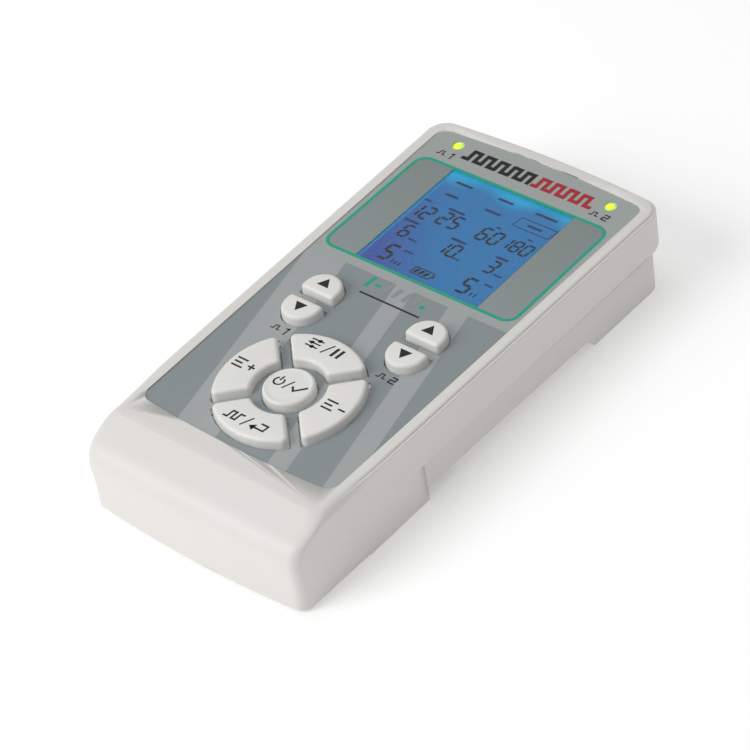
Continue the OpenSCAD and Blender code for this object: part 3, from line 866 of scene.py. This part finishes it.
def soften(obj: bpy.types.Object, width: float, angle: float = 38.0) -> None:
    """Gives the sharp edges of a moulding their small radius.

    Args:
        obj: The moulding.
        width: Width of the rounding in millimetres.
        angle: Edges sharper than this, in degrees, are rounded.
    """
    bevel = obj.modifiers.new("edge_radius", "BEVEL")
    bevel.width, bevel.segments, bevel.limit_method = width * MM, 2, "ANGLE"
    bevel.angle_limit, bevel.harden_normals = math.radians(angle), False
    bevel.use_clamp_overlap, bevel.miter_outer = True, "MITER_ARC"
    bake_modifiers(obj)
    shade(obj, 40)


@dataclass
class RearShell:
    """The rear shell and the battery cover, with softened edges."""

    edge_round: float = 0.3

    def build(self) -> None:
        """Builds both and puts them in place of their nodes."""
        parts = (("rear_case", "case", "case_shell"), ("battery_cover", "cover", "cover_shell"))
        for node, body, slot in parts:
            obj = as_object(cad_copy(node), node + "_moulding")
            bm = bmesh.new()
            bm.from_mesh(obj.data)
            bmesh.ops.dissolve_limit(bm, angle_limit=math.radians(0.5), verts=bm.verts, edges=bm.edges)
            bm.to_mesh(obj.data)
            bm.free()
            soften(obj, self.edge_round, 50)
            settle(obj, body, Finish.REAR, [node])


# ---- keys ----


def arc(centre: Point2, radius: float, start: float, end: float, steps: int) -> Outline:
    """Points on an arc.

    Args:
        centre: Its centre.
        radius: Its radius.
        start: First angle in degrees.
        end: Last angle in degrees.
        steps: Number of pieces.

    Returns:
        The points, both ends included.
    """
    angles = (math.radians(start + (end - start) * i / steps) for i in range(steps + 1))
    return [(centre[0] + radius * math.cos(a), centre[1] + radius * math.sin(a)) for a in angles]


@dataclass
class KeyShape:
    """One key: its outline and where it stands."""

    node: str
    kind: str
    angle: float = 0.0
    centre: Point2 = (0.0, -30.7)
    outer: float = 18.6
    inner: float = 8.9
    gap: float = 2.6
    half_width: float = 5.4
    length: float = 7.7
    pair_gap: float = 2.6

    def outline(self, grow: float) -> Outline:
        """Gives the key's outline before it is turned, about the ring's or pair's middle.

        Args:
            grow: How much larger than the cap it is.

        Returns:
            Its points, anticlockwise.
        """
        if self.kind == "sector":
            outer, inner, half = self.outer + grow, self.inner - grow, self.gap / 2 - grow
            ro, ri = 1.6 + grow, 1.3 + grow
            ao = 45 - math.degrees(math.asin((half + ro) / (outer - ro)))
            ai = 45 - math.degrees(math.asin((half + ri) / (inner + ri)))
            points: Outline = arc((0, 0), outer, -ao, ao, 20)[:-1]
            points += arc(arc((0, 0), outer - ro, ao, ao, 1)[0], ro, ao, 135, 6)
            points += arc(arc((0, 0), inner + ri, ai, ai, 1)[0], ri, 135, 180 + ai, 6)
            points += arc((0, 0), inner, ai, -ai, 12)[1:-1]
            points += arc(arc((0, 0), inner + ri, -ai, -ai, 1)[0], ri, 180 - ai, 225, 6)
            points += arc(arc((0, 0), outer - ro, -ao, -ao, 1)[0], ro, -135, -ao, 6)[:-1]
            return points
        if self.kind == "channel":
            low, half, r = self.pair_gap / 2 - grow, self.half_width + grow, 1.3 + grow
            base = self.pair_gap / 2 + self.length - self.half_width
            points = arc((-half + r, low + r), r, 180, 270, 6) + arc((half - r, low + r), r, -90, 0, 6)
            return points + arc((0, max(base, low + r + 0.05)), half, 0, 180, 24)
        return arc((0, 0), 6.6 + grow, 0, 360, 64)[:-1]


@dataclass
class Keypad:
    """The nine keys with their caps, flanges and stems."""

    crown: float = 0.95
    draft: float = 0.25

    def shapes(self) -> list[KeyShape]:
        """Lists the keys."""
        names = {0: "program_down_key", 90: "set_key", 180: "program_up_key", 270: "mode_key"}
        keys = [KeyShape(name, "sector", angle) for angle, name in names.items()]
        for side, number in ((-1, 1), (1, 2)):
            for turn, way in ((0, "up"), (180, "down")):
                keys.append(KeyShape(f"channel_{number}_{way}_key", "channel", turn, (side * 16.2, -3.65)))
        keys.append(KeyShape("ok_key", "round"))
        return keys

    def cap(self, key: KeyShape, low: float, top: float) -> Piece:
        """Builds a cap with rounded corners, a little draft and a soft top edge.

        Args:
            key: The key.
            low: Underside of the cap.
            top: Its top.

        Returns:
            The piece that holds it.
        """
        rings = [(key.outline(0), low)]
        for i in range(7):
            turn = math.pi / 2 * i / 6
            inset = self.draft + self.crown * (1 - math.cos(turn))
            rings.append((key.outline(-inset), top - self.crown + self.crown * math.sin(turn)))
        if key.kind == "round":
            # The middle key is very slightly domed.
            rings[-1] = (rings[-1][0], top - 0.12)
            rings += [(key.outline(-self.draft - self.crown - step), top - rest)
                      for step, rest in ((1.2, 0.07), (2.6, 0.02), (4.2, 0.0))]
        return Piece(key.node + "_cap").loft(rings)

    def build(self) -> None:
        """Builds every key and puts it in place of its node."""
        for key in self.shapes():
            low, high = node_box(key.node)
            flange_low, flange_top = low.z + 0.65, low.z + 1.45
            piece = self.cap(key, flange_top - 0.01, high.z)
            flange = Piece("flange")
            flange.slab(key.outline(0.75), flange_low, flange_top)
            mesh = bpy.data.meshes.new("flange")
            flange.bm.to_mesh(mesh)
            flange.bm.free()
            piece.bm.from_mesh(mesh)
            stem = self.stem_at(key)
            bmesh.ops.create_cone(piece.bm, cap_ends=True, segments=32, radius1=1.5, radius2=1.5, depth=0.65,
                                  matrix=Matrix.Translation((*stem, flange_low - 0.325)))
            piece.turn(key.angle, (0, 0))
            bmesh.ops.translate(piece.bm, verts=piece.bm.verts, vec=(*key.centre, 0))
            settle(piece.place(30), key.node, Finish.KEY, [key.node])

    def stem_at(self, key: KeyShape) -> Point2:
        """Where a key's stem stands, about the same middle as its outline.

        Args:
            key: The key.

        Returns:
            The stem's place.
        """
        if key.kind == "sector":
            return (key.outer + key.inner) / 2, 0.0
        if key.kind == "channel":
            return 0.0, key.pair_gap / 2 + key.length * 0.45
        return 0.0, 0.0


# ---- printed marks ----


class Print:
    """Flat marks of one ink on one surface."""

    thick = 0.03

    def __init__(self, name: str, z: float, origin: Point2 = (0.0, 0.0), angle: float = 0.0,
                 slant: float = 0.0) -> None:
        """Starts an empty print.

        Args:
            name: The piece's name.
            z: Height of the printed surface.
            origin: Middle of the marks.
            angle: How far they are turned, in degrees.
            slant: Lean of upright strokes, in millimetres per millimetre.
        """
        self.piece = Piece(name)
        self.z, self.origin, self.angle, self.slant = z, origin, math.radians(angle), slant

    def add(self, outline: Sequence[Point2]) -> None:
        """Adds one filled shape.

        Args:
            outline: Its corners before the print is leant, turned and moved.
        """
        c, s = math.cos(self.angle), math.sin(self.angle)
        placed = []
        for x, y in outline:
            x += self.slant * y
            placed.append((self.origin[0] + c * x - s * y, self.origin[1] + s * x + c * y))
        self.piece.slab(placed, self.z, self.z + self.thick)

    def bar(self, x0: float, y0: float, x1: float, y1: float, width: float) -> None:
        """Adds a straight stroke.

        Args:
            x0: Start.
            y0: Start.
            x1: End.
            y1: End.
            width: Its width.
        """
        length = math.hypot(x1 - x0, y1 - y0)
        nx, ny = -(y1 - y0) / length * width / 2, (x1 - x0) / length * width / 2
        self.add([(x0 - nx, y0 - ny), (x1 - nx, y1 - ny), (x1 + nx, y1 + ny), (x0 + nx, y0 + ny)])

    def path(self, points: Sequence[Point2], width: float) -> None:
        """Adds a bent stroke as a row of joined bars, which meet without overlapping at square corners.

        Args:
            points: Its middle line.
            width: Its width.
        """
        before = None
        for (x0, y0), (x1, y1) in zip(points, points[1:]):
            way = Vector((x1 - x0, y1 - y0)).normalized()
            square = before is not None and abs(before.dot(way)) < 0.2
            start, end = way * width * (-0.5 if square else 0.45), way * width * 0.5
            self.bar(x0 - start.x, y0 - start.y, x1 + end.x, y1 + end.y, width)
            before = way

    def hoop(self, centre: Point2, radius: float, start: float, end: float, width: float,
             steps: int = 28) -> None:
        """Adds a curved stroke.

        Args:
            centre: Its centre.
            radius: Radius of its middle line.
            start: First angle in degrees.
            end: Last angle in degrees.
            width: Its width.
            steps: Number of pieces.
        """
        out = arc(centre, radius + width / 2, start, end, steps)
        self.add(out + arc(centre, radius - width / 2, end, start, steps))

    def frame(self, half: Point2, middle: Point2, radius: float, width: float) -> None:
        """Adds a rounded rectangle of one line, in two halves.

        Args:
            half: Half its width and height, to the outside of the line.
            middle: Its middle.
            radius: Outside corner radius.
            width: Width of the line.
        """
        for sign in (1, -1):
            out: Outline = []
            inn: Outline = []
            for r, cut, points in ((radius, 0.0, out), (radius - width, width, inn)):
                hx, hy = half[0] - cut, half[1] - cut
                points.append((0.0, -hy))
                points += arc((hx - r, -hy + r), r, -90, 0, 8)
                points += arc((hx - r, hy - r), r, 0, 90, 8)
                points.append((0.0, hy))
            shape = [(sign * x, y) for x, y in out + inn[::-1]]
            self.add([(middle[0] + x, middle[1] + y) for x, y in (shape if sign > 0 else shape[::-1])])

    def settle(self, body: str, finish: Finish, slot: str) -> None:
        """Places the print.

        Args:
            body: The body it rides on.
            finish: Its ink.
        """
        settle(self.piece.place(), body, finish)


@dataclass
class Legends:
    """Marks on the keys and on the film: plain signs in place of words."""

    stroke: float = 0.5

    def keys(self) -> None:
        """Prints the sign on each key."""
        w = self.stroke
        top = node_box("ok_key")[1].z + 0.002
        triangle = [(-1.75, -1.35), (1.75, -1.35), (0.0, 1.55)]
        for side, number in ((-1, 1), (1, 2)):
            for y, turn, way in ((1.6, 0, "up"), (-8.4, 180, "down")):
                mark = Print(f"channel_{number}_{way}_mark", top, (side * 16.2, y), turn)
                mark.add(triangle)
                mark.settle(f"channel_{number}_{way}_key", Finish.INK, "key_cap")
        # Program keys: a short list and a sign for the next or the last one.
        for name, x, plus in (("program_up", -13.9, True), ("program_down", 13.9, False)):
            mark = Print(name + "_mark", top, (x, -30.7), 0)
            for row, length in ((1.3, 3.2), (0.0, 2.4), (-1.3, 3.2)):
                mark.bar(-2.9, row, -2.9 + length, row, w)
            mark.bar(1.3, 0, 3.3, 0, w)
            if plus:
                mark.bar(2.3, 0.3, 2.3, 1.05, w)
                mark.bar(2.3, -1.05, 2.3, -0.3, w)
            mark.settle(name + "_key", Finish.INK, "key_cap")
        # Set key: a tuning sign, a stroke and a pause sign.
        mark = Print("set_mark", top, (0.0, -16.4), 0, 0.12)
        for row, knob in ((1.2, -3.6), (0.0, -5.0), (-1.2, -4.0)):
            mark.bar(-6.0, row, -2.4, row, 0.4)
            mark.hoop((knob, row), 0.3, 0, 350, 0.5, 12)
        mark.bar(-0.9, -1.8, 0.5, 1.8, 0.42)
        for x in (2.0, 3.6):
            mark.bar(x, -1.5, x, 1.5, 0.8)
        mark.settle("set_key", Finish.INK, "key_cap")
        # Mode key: three wave steps, a stroke and a return arrow.
        mark = Print("mode_mark", top, (0.0, -45.0), 0, 0.12)
        mark.path([(-6.4, -1.1), (-5.4, -1.1), (-5.4, 1.1), (-4.2, 1.1), (-4.2, -1.1), (-3.0, -1.1),
                   (-3.0, 1.1), (-2.0, 1.1)], w)
        mark.bar(-0.9, -1.7, 0.4, 1.7, 0.42)
        mark.path([(2.0, -0.6), (5.2, -0.6), (5.2, 1.2), (3.4, 1.2)], w)
        mark.add([(2.6, 0.5), (2.6, -1.7), (1.0, -0.6)])
        mark.settle("mode_key", Finish.INK, "key_cap")
        # Middle key: the power sign, a stroke and a tick.
        mark = Print("ok_mark", top, (0.0, -30.6), 0, 0.1)
        mark.hoop((-2.9, -0.1), 1.25, 125, 415, 0.42)
        mark.bar(-2.9, 0.2, -2.9, 1.8, 0.42)
        mark.bar(-0.7, -1.6, 0.4, 1.6, 0.38)
        mark.path([(1.3, 0.0), (2.3, -1.1), (4.3, 1.3)], w)
        mark.settle("ok_key", Finish.INK, "key_cap")

    def numeral(self, mark: Print, digit: int, x: float, y: float, height: float) -> None:
        """Draws a 1 or a 2 in plain strokes.

        Args:
            mark: The print it joins.
            digit: Which one.
            x: Its middle.
            y: Its middle.
            height: Its height.
        """
        h, w = height / 2, height * 0.17
        if digit == 1:
            mark.path([(x - 0.28 * height, y + 0.3 * height), (x, y + h - w / 2), (x, y - h)], w)
        else:
            mark.path([(x - 0.3 * height, y + h - w / 2), (x + 0.3 * height, y + h - w / 2),
                       (x + 0.3 * height, y), (x - 0.3 * height, y), (x - 0.3 * height, y - h + w / 2),
                       (x + 0.35 * height, y - h + w / 2)], w)

    def pulse(self, mark: Print, x: float, y: float, size: float) -> None:
        """Draws one square pulse.

        Args:
            mark: The print it joins.
            x: Its middle.
            y: Its middle.
            size: Half its length.
        """
        half, step = size * 0.5, size * 0.4
        mark.path([(x - size, y - half), (x - step, y - half), (x - step, y + half),
                   (x + step, y + half), (x + step, y - half), (x + size, y - half)], size * 0.24)

    def panel(self) -> None:
        """Prints the marks of the film."""
        z = Case.film + 0.002
        black = Print("film_marks_black", z, slant=0.12)
        for side, digit in ((-1, 1), (1, 2)):
            for x, y, h in ((side * 16.4, -14.9, 2.3), (side * 23.9, 57.6, 2.2)):
                x -= black.slant * y
                self.pulse(black, x - 1.7, y, 1.25)
                self.numeral(black, digit, x + 1.6, y, h)
        # A plain pulse train where a maker's strip would be.
        train = [(-19.6, 58.7)]
        for i in range(5):
            x = -18.2 + 4.2 * i
            train += [(x, 58.7), (x, 62.0), (x + 2.1, 62.0), (x + 2.1, 58.7)]
        black.path([(x - 0.12 * y, y) for x, y in train], 1.15)
        black.bar(-9.8, 5.4, 8.6, 5.4, 0.5)
        black.settle("case", Finish.INK, "overlay_film")
        red = Print("film_marks_red", z, slant=0.12)
        tail = [(2.2, 58.7)]
        for i in range(4):
            x = 3.4 + 4.2 * i
            tail += [(x, 58.7), (x, 62.0), (x + 2.1, 62.0), (x + 2.1, 58.7)]
        tail.append((19.6, 58.7))
        red.path([(x - 0.12 * y, y) for x, y in tail], 1.15)
        red.settle("case", Finish.RED, "overlay_film")
        teal = Print("film_marks_teal", z)
        teal.frame((29.7, 20.0), (0.0, 34.6), 3.6, 0.9)
        teal.bar(-9.4, 7.6, -9.0, 11.6, 1.1)
        teal.bar(-7.6, 9.3, -5.8, 9.3, 0.9)
        teal.hoop((7.6, 8.6), 0.35, 0, 355, 0.7, 16)
        teal.settle("case", Finish.TEAL, "overlay_film")
        grey = Print("film_marks_grey", z)
        for i in range(4):
            grey.bar(-3.9 + 3.0 * i, 7.8, -3.5 + 3.0 * i, 11.2, 1.2)
        grey.settle("case", Finish.GREY_INK, "overlay_film")


@dataclass
class Display:
    """What the display shows: seven-segment figures and plain bars for their units."""

    lean: float = 0.14

    SEGMENTS = {
        "0": "abcdef", "1": "bc", "2": "abged", "3": "abgcd", "4": "fgbc",
        "5": "afgcd", "6": "afgedc", "7": "abc", "8": "abcdefg", "9": "abcdfg",
    }

    def figure(self, mark: Print, text: str, x: float, y: float, height: float) -> None:
        """Draws a number.

        Args:
            mark: The print it joins.
            text: Its digits.
            x: Middle of the first digit.
            y: Middle height.
            height: Height of a digit.
        """
        w, h, stroke = height * 0.25, height / 2, height * 0.145
        spots = {
            "a": ((-w, h), (w, h)), "b": ((w, h), (w, 0)), "c": ((w, 0), (w, -h)), "d": ((-w, -h), (w, -h)),
            "e": ((-w, 0), (-w, -h)), "f": ((-w, h), (-w, 0)), "g": ((-w, 0), (w, 0)),
        }
        for i, digit in enumerate(text):
            middle = x + i * height * 0.76 - self.lean * y
            for name in self.SEGMENTS[digit]:
                (x0, y0), (x1, y1) = spots[name]
                sx, sy = 0.08 * (x1 - x0), 0.1 * (y1 - y0)
                mark.bar(middle + x0 + sx, y + y0 + sy, middle + x1 - sx, y + y1 - sy, stroke)

    def glass(self) -> float:
        """Builds the glass, whose polariser stands up into the opening right under the window.

        Returns:
            Height of its top.
        """
        low, high = node_box("lcd_glass")
        window_low, window = node_box("display_window")
        piece = Piece("display_glass")
        wide, near, far, top = high.x, low.y, high.y, window_low.z - 0.05
        inner = (window.x - 1.4, near + 3.95, far - 3.95)
        rings = []
        foot, step = (wide, near, far), (wide, near + 2.4, far - 2.4)
        for half, y0, y1, z in ((*foot, low.z), (*foot, high.z - 1), (*step, high.z - 1),
                                (*step, high.z), (*inner, high.z), (*inner, top)):
            rings.append(([(-half, y0), (0, y0), (half, y0), (half, y1), (0, y1), (-half, y1)], z))
        settle(piece.loft(rings).place(), "case", Finish.DISPLAY, ["lcd_glass"])
        return top

    def build(self) -> None:
        """Prints the segments on the glass."""
        z = self.glass() + 0.004
        dark = Print("display_figures", z, slant=self.lean)
        for text, x, y, h in (("12", -17.4, 37.3, 4.6), ("25", -9.0, 37.9, 4.6), ("60", 3.2, 38.2, 4.6),
                              ("180", 9.9, 38.4, 4.0), ("6", -14.2, 29.3, 4.4), ("10", -2.6, 29.3, 4.4),
                              ("3", 12.4, 29.4, 4.4), ("5", -12.9, 21.0, 5.4), ("5", 11.4, 20.9, 5.4)):
            self.figure(dark, text, x, y, h)
        for x, y, n in ((-8.9, 18.6, 3), (15.4, 18.9, 2)):
            for i in range(n):
                dark.bar(x - 0.14 * y - 1.2 + 1.15 * i, y - 0.6, x - 0.14 * y - 1.2 + 1.15 * i, y + 0.6, 0.42)
        cell = (-0.8 - 0.14 * 19.0, 19.0)
        dark.frame((3.0, 1.35), cell, 0.5, 0.3)
        for i in range(3):
            x = cell[0] - 1.9 + 1.5 * i
            dark.add([(x - 0.5, cell[1] - 0.75), (x + 0.5, cell[1] - 0.75), (x + 0.9, cell[1] + 0.75),
                      (x - 0.1, cell[1] + 0.75)])
        dark.bar(cell[0] + 3.2, cell[1], cell[0] + 3.7, cell[1], 0.9)
        dark.settle("case", Finish.SEGMENT, "display_glass")
        faint = Print("display_words", z, slant=self.lean)
        for x, y, length in ((-12.8, 50.6, 5.0), (-12.9, 45.6, 4.0), (0.1, 50.8, 4.6), (-0.2, 45.8, 4.8),
                             (12.6, 50.9, 6.6), (12.6, 46.2, 4.2), (-17.0, 41.3, 2.4), (-8.0, 41.5, 5.0),
                             (4.9, 41.8, 1.6), (14.4, 42.0, 1.6), (-15.4, 32.9, 4.6), (-0.6, 32.9, 4.6),
                             (12.8, 33.0, 3.6), (-10.8, 27.3, 2.6), (2.8, 27.2, 2.6), (15.6, 27.4, 2.4),
                             (-8.6, 23.3, 2.6), (16.0, 23.5, 2.4)):
            small = length < 3
            x -= self.lean * y
            faint.bar(x - length / 2, y, x + length / 2, y, 0.55 if small else 0.8)
        faint.frame((5.6, 1.9), (12.6 - self.lean * 46.2, 46.2), 0.4, 0.28)
        faint.settle("case", Finish.FAINT, "display_glass")


# ---- carried-over nodes ----


@dataclass
class Insides:
    """Finishes of the nodes whose shape is right as it stands."""

    def dress(self) -> None:
        """Gives every shown node its finish."""
        table = {
            Finish.FILM: ["front_overlay"], Finish.WINDOW: ["display_window"],
            Finish.WHITE_FRAME: ["lcd_holder"], Finish.GUIDE: ["light_guide"],
            Finish.RUBBER: ["connector_strips"], Finish.SILICONE: ["key_mat"],
            Finish.LAMP_1: ["channel_1_lamp"], Finish.LAMP_2: ["channel_2_lamp"],
            Finish.CARBON: ["contact_pills"], Finish.BOARD: ["main_board", "socket_board"],
            Finish.BLACK: ["board_header", "microcontroller", "driver_chips", "buzzer", "output_socket_1",
                           "output_socket_2", "charging_socket", "cell_holder"],
            Finish.FERRITE: ["output_transformer_1", "output_transformer_2", "boost_inductor"],
            Finish.SLEEVE: ["electrolytic_capacitors"], Finish.JACKET: ["cell_1", "cell_2", "cell_3"],
            Finish.PLATED: ["cell_springs", "cell_plates", "board_screws", "holder_screws"],
            Finish.CRYSTAL: ["crystal"], Finish.SCREW: ["case_screws"],
        }
        for finish, nodes in table.items():
            for name in nodes:
                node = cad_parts[name]
                node.data.materials.clear()
                node.data.materials.append(finish.material)
                LOG.info("finish %s on %s", finish.value.name, name)


# ---- studio ----


@dataclass
class Studio:
    """Camera, lights and floor."""

    lens: float = 134.92
    azimuth: float = 46.705
    elevation: float = 41.812
    roll: float = -10.279
    target: tuple[float, float, float] = (13.143, -15.521, 22.0)
    distance: float = 650.2

    def camera(self) -> None:
        """Sets up the camera."""
        az, el, roll = (math.radians(v) for v in (self.azimuth, self.elevation, self.roll))
        back = Vector((math.sin(az) * math.cos(el), -math.cos(az) * math.cos(el), math.sin(el)))
        right = Vector((math.cos(az), math.sin(az), 0.0))
        up = back.cross(right)
        cos, sin = math.cos(roll), math.sin(roll)
        turned = (right * cos + up * sin, up * cos - right * sin, back)
        data = bpy.data.cameras.new("camera")
        data.lens, data.sensor_width = self.lens, 36.0
        data.clip_start, data.clip_end = 0.01, 10.0
        camera = bpy.data.objects.new("camera", data)
        axes = Matrix(turned).transposed().to_4x4()
        camera.matrix_world = Matrix.Translation((Vector(self.target) + back * self.distance) * MM) @ axes
        bpy.context.scene.collection.objects.link(camera)
        bpy.context.scene.camera = camera

    def lamp(self, name: str, place: Vector, power: float, size: float) -> None:
        """Adds a soft area light that faces the object.

        Args:
            name: Its name.
            place: Where it stands, in metres.
            power: Its power in watts.
            size: Its side in metres.
        """
        data = bpy.data.lights.new(name, "AREA")
        data.energy, data.size = power, size
        obj = bpy.data.objects.new(name, data)
        aim = (-place).to_track_quat("-Z", "Y").to_matrix().to_4x4()
        obj.matrix_world = Matrix.Translation(place) @ aim
        bpy.context.scene.collection.objects.link(obj)

    def build(self) -> None:
        """Builds the studio."""
        self.camera()
        world = bpy.data.worlds.new("studio")
        world.use_nodes = True
        world.node_tree.nodes["Background"].inputs[0].default_value = (1.0, 1.0, 1.0, 1.0)
        world.node_tree.nodes["Background"].inputs[1].default_value = 0.36
        bpy.context.scene.world = world
        bpy.context.scene.view_settings.view_transform = "Standard"
        self.lamp("key", Vector((-0.46, -0.86, 0.70)), 7.2, 0.7)
        self.lamp("top", Vector((-0.15, 0.2, 1.1)), 3.9, 1.1)
        piece = Piece("floor")
        bmesh.ops.create_grid(piece.bm, x_segments=8, y_segments=8, size=2500)
        bmesh.ops.translate(piece.bm, verts=piece.bm.verts, vec=(0, 0, -0.02))
        floor = piece.place()
        g = Graph("paper_backdrop_white")
        place = g.add("TexCoord").outputs["Object"]
        grain = g.add("TexNoise", sockets={"Vector": place, "Scale": 1 / (4 * MM), "Detail": 2.0})
        rough = g.add("MapRange", grain, 0.3, 0.7, 0.85, 0.95)
        floor.data.materials.append(g.finish(g.add("BsdfPrincipled", sockets={
            "Base Color": linear("fbfbfb"), "Roughness": rough, "Specular IOR Level": 0.1,
            "Emission Color": linear("ffffff"), "Emission Strength": 0.2})))


def main() -> None:
    """Builds the object and its studio."""
    logging.basicConfig(level=logging.INFO, format="%(message)s")
    Studio().build()
    Insides().dress()
    FrontShell().build()
    RearShell().build()
    Keypad().build()
    Legends().keys()
    Legends().panel()
    Display().build()


if __name__ == "__main__":
    main()
